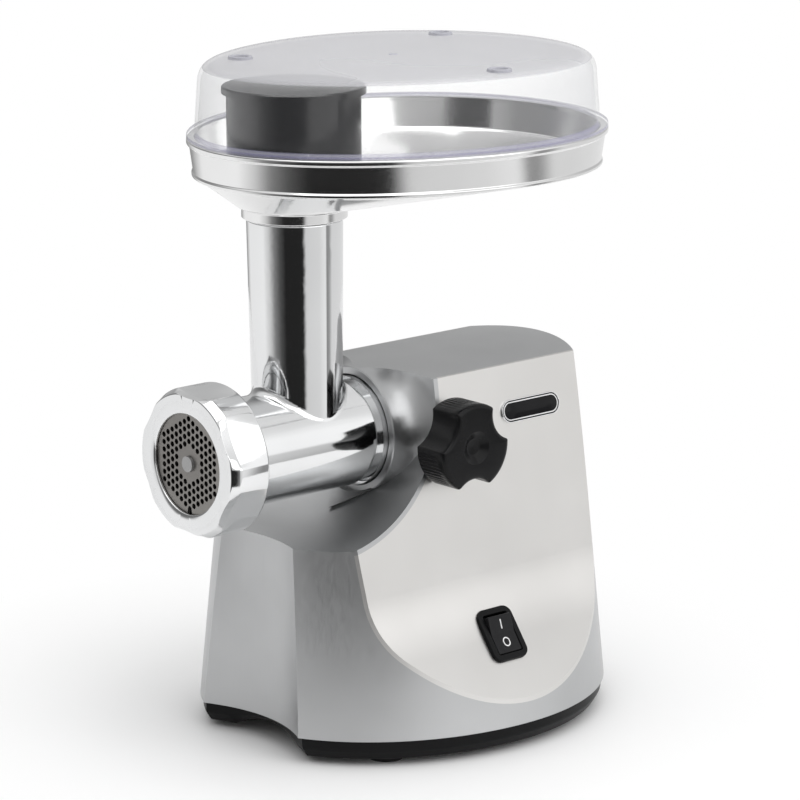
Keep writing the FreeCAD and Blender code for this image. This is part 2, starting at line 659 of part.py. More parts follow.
def gear_shape(teeth, module, width):
    """A straight-toothed gear with relieved flanks, one tooth centred on local +X."""
    pitch = teeth * module / 2
    root = pitch - 1.25 * module
    tip = pitch + 0.8 * module
    corners = []
    for tooth in range(int(teeth)):
        middle = 2 * math.pi * tooth / teeth
        for radius, share in ((root, -0.30), (pitch, -0.205), (tip, -0.10), (tip, 0.10), (pitch, 0.205),
                              (root, 0.30)):
            angle = middle + share * 2 * math.pi / teeth
            corners.append(Vector(radius * math.cos(angle), radius * math.sin(angle), 0))
    face = Part.Face(Part.makePolygon(corners + corners[:1]))
    return face.extrude(Vector(0, 0, width))


def gear_node(node, teeth, module, centre, front, phase, bore, recess=0.0):
    """A gear about an axis along Y; phase is the angle of a tooth from +X towards +Z."""
    shape = gear_shape(teeth, module, V.gear_width)
    shape = shape.cut(Part.makeCylinder(bore, V.gear_width))
    if recess:
        rim = teeth * module / 2 - 4.2
        web = Part.makeCylinder(rim, recess).cut(Part.makeCylinder(bore + 3.4, recess))
        shape = shape.cut(web)
        web.translate(Vector(0, 0, V.gear_width - recess))
        shape = shape.cut(web)
    # local +Z points to +Y and local +Y to -Z, so an angle towards +Z is a negative local angle
    shape.rotate(Vector(0, 0, 0), Vector(0, 0, 1), -phase)
    return feature(node, shape, Placement(Vector(centre[0], front, centre[1]), ALONG_Y))


motor_at = (0.0, V.motor_axis)
output_at = (0.0, V.head_axis)
last_reach = (V.small_teeth + V.output_teeth) * V.module_slow / 2
mid_reach = (V.small_teeth + V.second_teeth) * V.module_slow / 2
first_reach = (V.pinion_teeth + V.first_teeth) * V.module_in / 2
second_at = (V.lay_offset, V.head_axis - math.sqrt(last_reach ** 2 - V.lay_offset ** 2))
span = math.hypot(second_at[0], second_at[1] - V.motor_axis)
along = (first_reach ** 2 - mid_reach ** 2 + span ** 2) / (2 * span)
aside = math.sqrt(first_reach ** 2 - along ** 2)
unit = (second_at[0] / span, (second_at[1] - V.motor_axis) / span)
first_at = (along * unit[0] + aside * unit[1], V.motor_axis + along * unit[1] - aside * unit[0])


def line_angle(start, end):
    """Angle of the line between two axes, from +X towards +Z, in degrees."""
    return math.degrees(math.atan2(end[1] - start[1], end[0] - start[0]))


def meshing_phase(driver_phase, driver_teeth, teeth, start, end):
    """Phase of a gear at end whose space receives the tooth of a gear at start."""
    angle = line_angle(start, end)
    driver_offset = (angle - driver_phase) / (360.0 / driver_teeth)
    return angle + 180.0 - (0.5 - driver_offset) * 360.0 / teeth


output_phase = 0.0
small_second_phase = meshing_phase(output_phase, V.output_teeth, V.small_teeth, output_at, second_at)
second_phase = 0.0
small_first_phase = meshing_phase(second_phase, V.second_teeth, V.small_teeth, second_at, first_at)
first_phase = 0.0
pinion_phase = meshing_phase(first_phase, V.first_teeth, V.pinion_teeth, first_at, motor_at)

axle_radius = 3.0
axle_bore = axle_radius + 2 * FIT
recess = 2.4
output_shaft_radius = 9.0
gear_node("output_gear", V.output_teeth, V.module_slow, output_at, V.gear_plane_out, output_phase,
          output_shaft_radius + FIT)
gear_node("second_pinion", V.small_teeth, V.module_slow, second_at, V.gear_plane_out, small_second_phase,
          axle_bore)
gear_node("second_wheel", V.second_teeth, V.module_slow, second_at, V.gear_plane_mid, second_phase,
          axle_bore, recess)
gear_node("first_pinion", V.small_teeth, V.module_slow, first_at, V.gear_plane_mid, small_first_phase,
          axle_bore)
gear_node("first_wheel", V.first_teeth, V.module_in, first_at, V.gear_plane_in, first_phase,
          axle_bore, recess)
gear_node("motor_pinion", V.pinion_teeth, V.module_in, motor_at, V.gear_plane_in, pinion_phase,
          V.shaft_radius + FIT)

# The output shaft ends in a square socket for the auger's tail.
socket_front = V.boss_back + 6.4
shaft = Part.makeCylinder(output_shaft_radius, V.gear_plane_out + V.gear_width + 2 - socket_front)
shaft = shaft.cut(Part.makeBox(10.4, 10.4, 12.0, Vector(-5.2, -5.2, -0.5)))
feature("output_shaft", shaft, Placement(Vector(0, socket_front, V.head_axis), ALONG_Y))

case_front = V.gear_plane_out - 3.6
case_back = V.gear_plane_in + V.gear_width + 1.4
case_wall = 2.6


def gearcase_form(grow, front, back):
    """The gear case's rounded upright form between two faces."""
    lobes = ((output_at, V.output_teeth * V.module_slow / 2),
             (second_at, V.second_teeth * V.module_slow / 2),
             (first_at, V.first_teeth * V.module_in / 2), (motor_at, 9.0))
    form = None
    for centre, radius in lobes:
        lobe = Part.makeCylinder(radius + 2.0 + grow, back - front, Vector(centre[0], front, centre[1]),
                                 Vector(0, 1, 0))
        form = lobe if form is None else form.fuse(lobe)
    return form.removeSplitter()


case = gearcase_form(case_wall, case_front - case_wall, case_back)
case = case.cut(gearcase_form(0.0, case_front, case_back + 1))
bush_radius = 11.0
for centre, radius in ((output_at, bush_radius), (motor_at, 8.2), (second_at, axle_radius + FIT),
                       (first_at, axle_radius + FIT)):
    start = Vector(centre[0], case_front - 8, centre[1])
    case = case.cut(Part.makeCylinder(radius, 12, start, Vector(0, 1, 0)))
lid = gearcase_form(case_wall, case_back, case_back + case_wall)
lid = lid.cut(Part.makeCylinder(axle_radius + FIT, 12, Vector(first_at[0], case_back - 4, first_at[1]),
                                along_y))
case_screws = []
screw_seat = case_back + case_wall
for centre, radius, angle in ((first_at, V.first_teeth * V.module_in / 2, 200),
                              (first_at, V.first_teeth * V.module_in / 2, -20),
                              (second_at, V.second_teeth * V.module_slow / 2, 180),
                              (output_at, V.output_teeth * V.module_slow / 2, 30)):
    reach = radius + 2.0 + case_wall / 2
    x = centre[0] + reach * math.cos(math.radians(angle))
    z = centre[1] + reach * math.sin(math.radians(angle))
    screw = screw_shape(2.2, 1.8, 0.9, 8.0)
    case_screws.append(moved(screw, Placement(Vector(x, screw_seat, z), Rotation(Vector(1, 0, 0), 90))))
feature("gearcase", case.cut(case_screws))
feature("gearcase_lid", lid.cut(case_screws))
feature("gearcase_screws", Part.makeCompound(case_screws))


def pin_node(node, centre, front, back, radius):
    """A plain steel axle along Y."""
    length = back - front
    shape = Part.makeCylinder(radius, length)
    shape = shape.makeChamfer(0.4, [e for e in shape.Edges if isinstance(e.Curve, Part.Circle)])
    return feature(node, shape, Placement(Vector(centre[0], front, centre[1]), ALONG_Y))


pin_node("first_axle", first_at, case_front - case_wall, case_back + case_wall, axle_radius)
pin_node("second_axle", second_at, case_front - case_wall, V.gear_plane_mid + V.gear_width, axle_radius)

bush = Part.makeCylinder(bush_radius, case_wall).cut(
    Part.makeCylinder(output_shaft_radius + FIT, case_wall))
feature("output_bush", bush, Placement(Vector(0, case_front - case_wall, V.head_axis), ALONG_Y))

# ---------------------------------------------------------------- motor


def on_motor(node, shape, front):
    """A motor piece made along local +Z, set on the motor's axis."""
    return feature(node, shape, Placement(Vector(0, front, V.motor_axis), ALONG_Y))


stack = V.stator_back - V.stator_front
half = V.stator_size / 2
stator = rounded_plate(V.stator_size, V.stator_size, 6.0, stack)
stator = stator.cut(Part.makeCylinder(V.rotor_radius + 0.7, stack))
for sign in (-1, 1):
    window = Part.makeBox(7.0, V.stator_size - 24, stack, Vector(-3.5 + sign * 23.5, -half + 12, 0))
    stator = stator.cut(window)
on_motor("stator_stack", stator, V.stator_front)

coils = []
for sign in (-1, 1):
    loop = Part.makeBox(6.0, V.stator_size - 25, stack + 14, Vector(-3 + sign * 23.5, -half + 12.5, -7))
    loop = loop.makeFillet(2.4, [e for e in loop.Edges if abs(e.Length - stack - 14) > 1])
    coils.append(loop)
on_motor("field_coils", Part.makeCompound(coils), V.stator_front)


def bracket_shape(bearing_radius, reach):
    """A motor end bracket: a bridge on two legs with a bearing seat in the middle."""
    bridge = Part.makeBox(18, V.stator_size - 4, 4, Vector(-9, -half + 2, reach - 4))
    seat = Part.makeCylinder(bearing_radius + 2.6, 8.6, Vector(0, 0, reach - 8.6))
    solid = bridge.fuse(seat)
    for sign in (-1, 1):
        leg = Part.makeBox(18, 4, reach, Vector(-9, sign * (half - 4) - 2, 0))
        solid = solid.fuse(leg)
    solid = solid.cut(Part.makeCylinder(bearing_radius, 7.0, Vector(0, 0, reach - 8.61)))
    return solid.cut(Part.makeCylinder(V.shaft_radius + 0.5, 20, Vector(0, 0, reach - 10)))


front_reach = 26.0
rear_reach = 19.0
bearing_radius = 8.0
rear = bracket_shape(bearing_radius, rear_reach)
on_motor("rear_motor_bracket", rear, V.stator_back)
front = bracket_shape(bearing_radius, front_reach)
front.rotate(Vector(0, 0, 0), Vector(1, 0, 0), 180)
on_motor("front_motor_bracket", front, V.stator_front)
for node, start in (("front_bearing", "stator_front - 24.3"), ("rear_bearing", "stator_back + 10.5")):
    revolved(node, [
        ("shaft_radius", "0"), ("5.4", "0"), ("5.4", "0.5"), ("6.6", "0.5"), ("6.6", "0"), ("8.0", "0"),
        ("8.0", "6.0"), ("6.6", "6.0"), ("6.6", "5.5"), ("5.4", "5.5"), ("5.4", "6.0"),
        ("shaft_radius", "6.0")],
        (0, start, "motor_axis"), ALONG_Y)

shaft_front = V.stator_front - front_reach - 11
shaft_back = V.gear_plane_in + V.gear_width - 0.6
pin_node("motor_shaft", motor_at, shaft_front, shaft_back, V.shaft_radius)

armature = Part.makeCylinder(V.rotor_radius, stack)
for step in range(12):
    slot = Part.makeBox(7.0, 2.2, stack, Vector(V.rotor_radius - 6.0, -1.1, 0))
    slot.rotate(Vector(0, 0, 0), Vector(0, 0, 1), 30 * step)
    armature = armature.cut(slot)
armature = armature.cut(Part.makeCylinder(V.shaft_radius + FIT, stack))
on_motor("armature_stack", armature, V.stator_front)

windings = []
for low in (-7.2, stack):
    coil = Part.makeCylinder(14.6, 7.2, Vector(0, 0, low)).cut(
        Part.makeCylinder(V.shaft_radius + 1, 7.2, Vector(0, 0, low)))
    outer_z = low if low < 0 else low + 7.2
    rim = [e for e in coil.Edges if isinstance(e.Curve, Part.Circle) and abs(e.Curve.Radius - 14.6) < 0.01
           and abs(e.Curve.Center.z - outer_z) < 0.01]
    windings.append(coil.makeFillet(3.4, rim))
on_motor("armature_windings", Part.makeCompound(windings), V.stator_front)

commutator = Part.makeCylinder(8.4, 7.4).cut(Part.makeCylinder(V.shaft_radius + FIT, 7.4))
for step in range(24):
    slit = Part.makeBox(3.0, 0.5, 7.4, Vector(7.4, -0.25, 0))
    slit.rotate(Vector(0, 0, 0), Vector(0, 0, 1), 15 * step)
    commutator = commutator.cut(slit)
on_motor("commutator", commutator, V.stator_front - 15.6)

fan = Part.makeCylinder(26.0, 1.6).fuse(Part.makeCylinder(7.0, 9.0))
for step in range(9):
    blade = Part.makeBox(17.5, 1.2, 9.0, Vector(8.0, -0.6, 0))
    blade.rotate(Vector(8.0, 0, 0), Vector(0, 0, 1), 18)
    blade.rotate(Vector(0, 0, 0), Vector(0, 0, 1), 40 * step)
    fan = fan.fuse(blade)
fan = fan.cut(Part.makeCylinder(V.shaft_radius + FIT, 12)).removeSplitter()
on_motor("cooling_fan", fan, shaft_front + 1.0)

for side, sign in (("right", 1), ("left", -1)):
    middle = Vector(sign * 8.55, 0, 0)
    length = 13.0
    holder = Part.makeBox(length, 9.0, 8.0, Vector(sign * 16 - length / 2, -4.5, -4))
    holder = holder.cut(Part.makeBox(length + 2, 5.4, 4.8, Vector(sign * 16 - length / 2 - 1, -2.7, -2.4)))
    on_motor(f"{side}_brush_holder", holder, V.stator_front - 11.9)
    near = 8.5
    brush = Part.makeBox(9.0, 5.2, 4.6, Vector(near if sign > 0 else -near - 9.0, -2.6, -2.3))
    on_motor(f"{side}_carbon_brush", brush, V.stator_front - 11.9)

terminal = Part.makeBox(30, 12, 12, Vector(-15, 232, V.base_low + 3.0))
for step in range(3):
    terminal = terminal.cut(Part.makeCylinder(2.6, 9, Vector(-9 + 9 * step, 238, 11.4)))
    terminal = terminal.cut(Part.makeCylinder(1.7, 20, Vector(-9 + 9 * step, 230, 10.6), Vector(0, 1, 0)))
feature("terminal_block", terminal)

# ---------------------------------------------------------------- cutting head


def head_cylinder(radius, front, back):
    """A cylinder on the head's axis."""
    return Part.makeCylinder(radius, back - front, Vector(0, front, V.head_axis), Vector(0, 1, 0))


seat_y = V.plate_thick
barrel_front = seat_y - 3.4
thread_back = 20.6
shoulder = 96.0
head = head_cylinder(V.nose_radius, barrel_front, thread_back)
head = head.fuse(head_cylinder(V.barrel_radius, barrel_front, shoulder + 8))
neck = head_cylinder(V.neck_radius, V.boss_front - 3, V.neck_back)
head = head.fuse(neck)
waist = head_cylinder(V.barrel_radius - 1.8, shoulder, V.boss_front)
tube_low = V.head_axis
tube_height = V.tube_top - tube_low
foot_centre = Vector(0, V.tube_axis + 1.2, tube_low)
tube = Part.makeLoft([
    Part.Wire(Part.Circle(foot_centre, Vector(0, 0, 1), V.tube_foot_radius).toShape()),
    Part.Wire(Part.Circle(Vector(0, V.tube_axis, V.tube_top), Vector(0, 0, 1), V.tube_radius).toShape())],
    True, True)
body_of_head = head.fuse(waist).fuse(tube).removeSplitter()


def round_joint(shape):
    """Round the joint between the feed tube and the barrel."""
    seam = []
    for edge in shape.Edges:
        box = edge.BoundBox
        on_barrel = box.ZMin > V.head_axis + 5 and box.ZMax < V.head_axis + V.barrel_radius + 1
        if on_barrel and box.YMin > V.tube_axis - 40 and box.YMax < V.tube_axis + 40 and edge.Length > 20:
            if box.XLength > 20 or box.YLength > 20:
                seam.append(edge)
    return shape.makeFillet(5.0, seam)


body_of_head = round_joint(body_of_head)
bore = head_cylinder(V.barrel_bore, barrel_front - 1, V.neck_back - 16)
tail_bore = head_cylinder(8.05, V.neck_back - 20, V.neck_back + 1)
plate_seat = head_cylinder(V.plate_radius + 0.3, barrel_front - 1, seat_y)
feed_bore = Part.makeCylinder(V.tube_bore, tube_height + 6, Vector(0, V.tube_axis, V.head_axis))
head_solid = body_of_head.cut(bore).cut(tail_bore).cut(plate_seat).cut(feed_bore)
key_z = V.head_axis - V.barrel_radius + 2.9
head_solid = head_solid.cut(Part.makeCylinder(1.5, 12, Vector(0, seat_y - 3.4, key_z), Vector(0, 1, 0)))
mouth = [e for e in head_solid.Edges if isinstance(e.Curve, Part.Circle)
         and abs(e.Curve.Center.z - V.tube_top) < 0.01]
head_solid = head_solid.makeFillet(0.8, mouth)
feature("head_casting", head_solid)
feature("plate_key", Part.makeCylinder(1.45, 11.9, Vector(0, seat_y - 3.3, key_z), Vector(0, 1, 0)))

plate = head_cylinder(V.plate_radius, 0.0, V.plate_thick - 0.3)
holes = []
row_step = V.plate_pitch * math.sqrt(3) / 2
columns = int(V.plate_field / row_step) + 1
for column in range(-columns, columns + 1):
    shift = V.plate_pitch / 2 if column % 2 else 0.0
    rows = int(V.plate_field / V.plate_pitch) + 1
    for step in range(-rows, rows + 1):
        x = column * row_step
        z = step * V.plate_pitch + shift
        radius = math.hypot(x, z)
        if V.plate_hub + V.plate_hole <= radius <= V.plate_field - V.plate_hole:
            holes.append(Part.makeCylinder(V.plate_hole, 8, Vector(x, -1, V.head_axis + z), Vector(0, 1, 0)))
plate = plate.cut(Part.makeCompound(holes))
plate = plate.cut(head_cylinder(V.pin_radius + 0.06, -1, 8))
plate = plate.cut(Part.makeBox(3.6, 8, 6.6, Vector(-1.8, -1, V.head_axis - V.plate_radius - 0.4)))
feature("perforated_plate", plate)

nut = turned("ring_nut_blank", [
    ("nut_opening", "nut_front + 0.4"), ("nut_opening + 0.6", "nut_front"), ("nut_face", "nut_front"),
    ("nut_radius - 0.8", "nut_front + 1.6"), ("nut_radius", "nut_front + 5.0"),
    ("nut_radius", "nut_back - 1.6"), ("nut_radius - 1.6", "nut_back"), ("nut_thread", "nut_back"),
    ("nut_thread", "-0.4"), ("nut_opening", "-0.4")],
    (0, 0, "head_axis"), ALONG_Y)
scallop_reach = V.nut_waist + V.nut_scallop
nut_tools = []
for step in range(6):
    angle = math.radians(27 + 60 * step)
    nut_tools.append(cylinder(f"nut_scallop_{step}", "nut_scallop", "18.0", (
        f"{scallop_reach * math.cos(angle)}", "nut_front - 1.0",
        f"head_axis + {scallop_reach * math.sin(angle)}"), ALONG_Y))
keep("ring_nut", cut("ring_nut", nut, nut_tools))

# ---------------------------------------------------------------- auger and knife

auger_root = 10.5
auger_tip = 23.7
auger_front = 13.6
auger_back = 128.0
turn_pitch = 27.0
core = Part.makeCone(auger_root - 1.0, auger_root + 4.0, auger_back - auger_front)
helix = Part.makeHelix(turn_pitch, auger_back - auger_front - 8, auger_root)
profile = Part.makePolygon([
    Vector(auger_root - 3.0, 0, -3.4), Vector(auger_tip, 0, -1.5), Vector(auger_tip, 0, 1.5),
    Vector(auger_root - 3.0, 0, 3.4), Vector(auger_root - 3.0, 0, -3.4)])
pipe = Part.Wire(helix).makePipeShell([profile], True, True)
flight = Part.Solid(pipe) if pipe.ShapeType == "Shell" else pipe
flight.translate(Vector(0, 0, 4.0))
auger = core.fuse(flight)
auger = auger.common(Part.makeCylinder(auger_tip, auger_back - auger_front))
square = auger_front - V.plate_thick - 0.3
auger = auger.fuse(Part.makeBox(11.6, 11.6, square, Vector(-5.8, -5.8, -square)))
auger = auger.fuse(Part.makeCylinder(V.pin_radius, auger_front + 1.6, Vector(0, 0, -auger_front - 1.6)))
journal_start = Vector(0, 0, auger_back - auger_front)
auger = auger.fuse(Part.makeCylinder(8.0, V.neck_back - auger_back - 1.5, journal_start))
tail_start = V.neck_back - auger_front - 1.5
tail = Part.makeBox(9.8, 9.8, socket_front + 9.0 - V.neck_back + 1.5, Vector(-4.9, -4.9, tail_start))
auger = auger.fuse(tail)
feature("auger", auger, Placement(Vector(0, auger_front, V.head_axis), ALONG_Y))

washer = Part.makeCylinder(14.0, 1.6).cut(Part.makeCylinder(8.05, 1.6))
feature("thrust_washer", washer, Placement(Vector(0, auger_back + 0.6, V.head_axis), ALONG_Y))

blade_outline = []
for arm in range(4):
    base_angle = math.pi / 2 * arm
    for radius, angle in ((23.6, -0.05), (23.9, 0.16), (12.0, 0.52), (9.4, 0.80), (9.2, 1.05)):
        blade_outline.append(Vector(radius * math.cos(base_angle + angle),
                                    radius * math.sin(base_angle + angle), 0))
knife = Part.Face(Part.makePolygon(blade_outline + blade_outline[:1])).extrude(Vector(0, 0, 3.2))
knife = knife.fuse(Part.makeCylinder(9.6, 7.0))
knife = knife.cut(Part.makeBox(11.64, 11.64, 9.0, Vector(-5.82, -5.82, -1.0)))
feature("cutting_knife", knife, Placement(Vector(0, V.plate_thick, V.head_axis), ALONG_Y))

# ---------------------------------------------------------------- tray, cover and pusher


def egg_wire(long_half, wide_half, height):
    """A closed egg-shaped curve, its rear half a little wider."""
    count = 24
    points = []
    for step in range(count):
        angle = 2 * math.pi * step / count
        across = wide_half * math.sin(angle) * (1 + V.tray_egg * math.cos(angle))
        points.append(Vector(across, V.tray_mid + long_half * math.cos(angle), height))
    curve = Part.BSplineCurve()
    curve.interpolate(points, PeriodicFlag=True)
    return Part.Wire(curve.toShape())


def egg_loft(sections, ruled=True):
    """A solid through egg curves, each given as (inset from the rim, height)."""
    wires = [egg_wire(V.tray_long - inset, V.tray_wide - inset, height) for inset, height in sections]
    return Part.makeLoft(wires, True, ruled)


def circle_wire(radius, height):
    """A circle on the tube's axis, started where the egg curve starts."""
    count = 24
    points = []
    for step in range(count):
        angle = 2 * math.pi * step / count
        points.append(Vector(radius * math.sin(angle), V.tube_axis + radius * math.cos(angle), height))
    curve = Part.BSplineCurve()
    curve.interpolate(points, PeriodicFlag=True)
    return Part.Wire(curve.toShape())


def tray_form(inset, lower):
    """The tray's outside, or its inside with an inset and a lowering of the faces."""
    band_low = V.tray_rim - V.tray_band
    upper = egg_loft([(3.0 + inset, band_low - lower), (inset, V.tray_rim + 1)])
    wires = [egg_wire(V.tray_long - 3.0 - inset, V.tray_wide - 3.0 - inset, band_low - lower),
             circle_wire(V.tube_radius + 2.0 - inset, V.tube_top + V.collar_height - lower)]
    return upper.fuse(Part.makeLoft(wires, True, True))


sheet_t = V.tray_wall
tray_solid = tray_form(0.0, 0.0)
tray_solid = tray_solid.cut(tray_form(sheet_t, -sheet_t))
tray_solid = tray_solid.cut(Part.makeBox(400, 400, 40, Vector(-200, -60, V.tray_rim)))
lip = egg_loft([(-1.0, V.tray_rim - 2.2), (-1.0, V.tray_rim)]).cut(
    egg_loft([(1.0, V.tray_rim - 3), (1.0, V.tray_rim + 1)]))
tray_solid = tray_solid.fuse(lip)
spigot = Part.makeCylinder(V.tube_radius - 0.1, 3.0, Vector(0, V.tube_axis, V.tube_top + 0.3))
spigot = spigot.fuse(Part.makeCylinder(V.tube_bore - 0.3, 12.3, Vector(0, V.tube_axis, V.tube_top - 9)))
tray_solid = tray_solid.fuse(spigot)
for radius, low in ((V.tube_bore - 1.7, V.tube_top - 12), (V.tube_bore + 1.0, V.tube_top + 3.9)):
    tray_solid = tray_solid.cut(Part.makeCylinder(radius, 60, Vector(0, V.tube_axis, low)))
feature("tray", max(tray_solid.Solids, key=lambda s: s.Volume))

rim_z = V.tray_rim
top_z = V.cover_top
cover_t = V.cover_wall
shell_sections = [(3.2, rim_z + 0.3), (V.cover_inset - 1.4, top_z - 6), (V.cover_inset + 0.6, top_z - 2.2),
                  (V.cover_inset + 4.6, top_z)]
inner_sections = [(3.2 + cover_t, rim_z - 0.7), (V.cover_inset - 1.4 + cover_t, top_z - 6),
                  (V.cover_inset + 1.4 + cover_t, top_z - 3.4),
                  (V.cover_inset + 5.4 + cover_t, top_z - cover_t)]
cover = egg_loft(shell_sections).cut(egg_loft(inner_sections))
flange = egg_loft([(-0.6, rim_z + 0.3), (-0.6, rim_z + 2.3)]).cut(
    egg_loft([(4.2, rim_z - 1), (4.2, rim_z + 4)]))
cover = cover.fuse(flange)
ring_reach = 84.0
for step in range(3):
    angle = math.radians(120 * step)
    centre = Vector(ring_reach * math.cos(angle), V.tray_mid + ring_reach * math.sin(angle), top_z - 0.2)
    foot = Part.makeCylinder(6.6, V.cover_feet + 0.2, centre)
    foot = foot.cut(Part.makeCylinder(4.6, 5.0, centre + Vector(0, 0, 0.7)))
    cover = cover.fuse(foot)
feature("cover", cover.removeSplitter())

revolved("pusher_body", [
    ("pusher_stem - 2.0", "pusher_end"), ("pusher_stem - 1.0", "pusher_end - 1.2"),
    ("0", "pusher_end - 1.2"),
    ("0", "pusher_end + 1.4"), ("pusher_stem - 3.6", "pusher_end + 1.4"),
    ("pusher_stem - 2.4", "pusher_low + 3.0"),
    ("pusher_radius - 2.2", "pusher_low + 4.0"), ("pusher_radius - 2.0", "pusher_top - 4.0"),
    ("pusher_radius", "pusher_top - 4.0"), ("pusher_radius", "pusher_low + 3.0"),
    ("pusher_radius - 3.0", "pusher_low"), ("pusher_stem", "pusher_low"),
    ("pusher_stem - 1.6", "pusher_end + 2.0")],
    (0, "tube_axis", 0))
revolved("pusher_cap", [
    ("0", "pusher_top - 2.6"), ("pusher_radius - 4.0", "pusher_top - 2.6"),
    ("pusher_radius - 4.0", "pusher_top - 9.0"),
    ("pusher_radius - 2.3", "pusher_top - 9.0"), ("pusher_radius - 2.3", "pusher_top - 3.9"),
    ("pusher_lip", "pusher_top - 3.9"), ("pusher_lip", "pusher_top - 0.8"),
    ("pusher_lip - 0.8", "pusher_top"),
    ("0", "pusher_top")],
    (0, "tube_axis", 0))

doc.recompute()
for obj in doc.Objects:
    if "Invalid" in obj.State or "Error" in obj.State:
        raise RuntimeError(f"{obj.Name} did not compute: {obj.State}")
for node, obj in NODES.items():
    if obj.Shape.isNull() or not obj.Shape.isValid() or not obj.Shape.Solids:
        raise RuntimeError(f"{node} has no valid solid")

os.makedirs("parts", exist_ok=True)
for node, obj in NODES.items():
    shape = obj.Shape
    shape.exportStep(f"parts/{node}.step")
    print(node, len(shape.Solids), round(shape.Volume / 1000, 2))
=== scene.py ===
import json
import math

import bmesh
import bpy
from mathutils import Matrix, Vector


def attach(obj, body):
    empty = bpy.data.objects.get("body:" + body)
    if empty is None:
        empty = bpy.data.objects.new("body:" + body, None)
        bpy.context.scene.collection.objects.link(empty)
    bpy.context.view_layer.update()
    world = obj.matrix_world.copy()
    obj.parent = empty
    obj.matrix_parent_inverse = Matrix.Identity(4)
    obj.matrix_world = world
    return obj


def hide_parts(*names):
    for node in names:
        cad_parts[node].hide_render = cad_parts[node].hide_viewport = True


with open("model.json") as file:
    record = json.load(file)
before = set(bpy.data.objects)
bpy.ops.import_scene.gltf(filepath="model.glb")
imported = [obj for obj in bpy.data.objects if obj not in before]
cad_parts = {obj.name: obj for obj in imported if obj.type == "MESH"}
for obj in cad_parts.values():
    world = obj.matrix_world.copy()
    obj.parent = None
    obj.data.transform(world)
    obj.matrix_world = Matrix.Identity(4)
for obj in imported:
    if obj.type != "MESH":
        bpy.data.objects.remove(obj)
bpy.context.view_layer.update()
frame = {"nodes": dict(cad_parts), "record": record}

MM = 0.001
TAU = 2 * math.pi

# Reference places and sizes, in millimetres in the frame.
HEAD_Z = 166.6
PLATE_Y = -137.0
TUBE_Y = -63.0
KNOB = Vector((55.4, -0.7, 166.6))

# The tray's plan: an egg, longer than it is wide, and wider at its rear by TRAY_EGG.
TRAY_Y = 7.6
TRAY_LONG = 122.0
TRAY_WIDE = 102.0
TRAY_EGG = 0.1
RIM_Z = 330.8
COVER_TOP = 371.0

# The part of the clear plastic's density that rays of light meet.
LIGHT_SHARE = 0.25


# ---------------------------------------------------------------- node helpers

class Nodes:
    """A small builder for one material's node tree."""

    def __init__(self, name):
        self.material = bpy.data.materials.new(name)
        self.material.use_nodes = True
        self.tree = self.material.node_tree
        self.shader = self.tree.nodes["Principled BSDF"]
        coord = self.tree.nodes.new("ShaderNodeTexCoord")
        self.place = coord.outputs["Object"]

    def new(self, kind, **settings):
        node = self.tree.nodes.new(kind)
        for key, value in settings.items():
            setattr(node, key, value)
        return node

    def link(self, start, end):
        self.tree.links.new(start, end)

    def scaled(self, scale):
        """The object coordinate stretched, so that a texture can run along one axis."""
        mapping = self.new("ShaderNodeMapping")
        mapping.inputs["Scale"].default_value = scale
        self.link(self.place, mapping.inputs["Vector"])
        return mapping.outputs["Vector"]

    def noise(self, vector, scale, detail=4.0, rough=0.6):
        """A 0 to 1 noise over a coordinate."""
        node = self.new("ShaderNodeTexNoise")
        node.inputs["Scale"].default_value = scale
        node.inputs["Detail"].default_value = detail
        node.inputs["Roughness"].default_value = rough
        self.link(vector, node.inputs["Vector"])
        return node.outputs["Fac"]

    def spread(self, value, low, high, start=0.3, end=0.7):
        """A 0 to 1 value mapped to a range."""
        node = self.new("ShaderNodeMapRange")
        node.inputs["From Min"].default_value = start
        node.inputs["From Max"].default_value = end
        node.inputs["To Min"].default_value = low
        node.inputs["To Max"].default_value = high
        self.link(value, node.inputs["Value"])
        return node.outputs["Result"]

    def tinted(self, value, dark, light, start=0.3, end=0.7):
        """A colour between two, by a value."""
        node = self.new("ShaderNodeValToRGB")
        node.color_ramp.elements[0].position = start
        node.color_ramp.elements[1].position = end
        node.color_ramp.elements[0].color = (*dark, 1)
        node.color_ramp.elements[1].color = (*light, 1)
        self.link(value, node.inputs["Fac"])
        return node.outputs["Color"]

    def bump(self, value, strength, distance):
        """A height that tilts the shader's normal."""
        node = self.new("ShaderNodeBump")
        node.inputs["Strength"].default_value = strength
        node.inputs["Distance"].default_value = distance
        self.link(value, node.inputs["Height"])
        self.link(node.outputs["Normal"], self.shader.inputs["Normal"])

    def put(self, **sockets):
        """Plain values set on the shader's own sockets."""
        for name, value in sockets.items():
            self.shader.inputs[name.replace("_", " ")].default_value = value


def plain_metal(name, dark, light, rough, grain=(40, 40, 40), grain_scale=12.0, bump=0.05,
                distance=0.0002):
    """A metal whose tone and roughness vary along a grain."""
    n = Nodes(name)
    fine = n.noise(n.scaled(grain), grain_scale)
    broad = n.noise(n.place, 14.0, 2.0)
    n.link(n.tinted(broad, dark, light), n.shader.inputs["Base Color"])
    n.link(n.spread(fine, rough[0], rough[1]), n.shader.inputs["Roughness"])
    n.bump(fine, bump, distance)
    n.put(Metallic=1.0)
    return n.material


def moulded(name, dark, light, rough, grain=900.0, bump=0.12, gloss=0.12):
    """A moulded plastic or rubber with a fine pebbled surface."""
    n = Nodes(name)
    pebble = n.noise(n.place, grain, 3.0, 0.5)
    broad = n.noise(n.place, 22.0, 3.0)
    n.link(n.tinted(broad, dark, light), n.shader.inputs["Base Color"])
    n.link(n.spread(broad, rough[0], rough[1]), n.shader.inputs["Roughness"])
    n.bump(pebble, bump, 0.0002)
    n.put(Specular_IOR_Level=gloss)
    return n.material


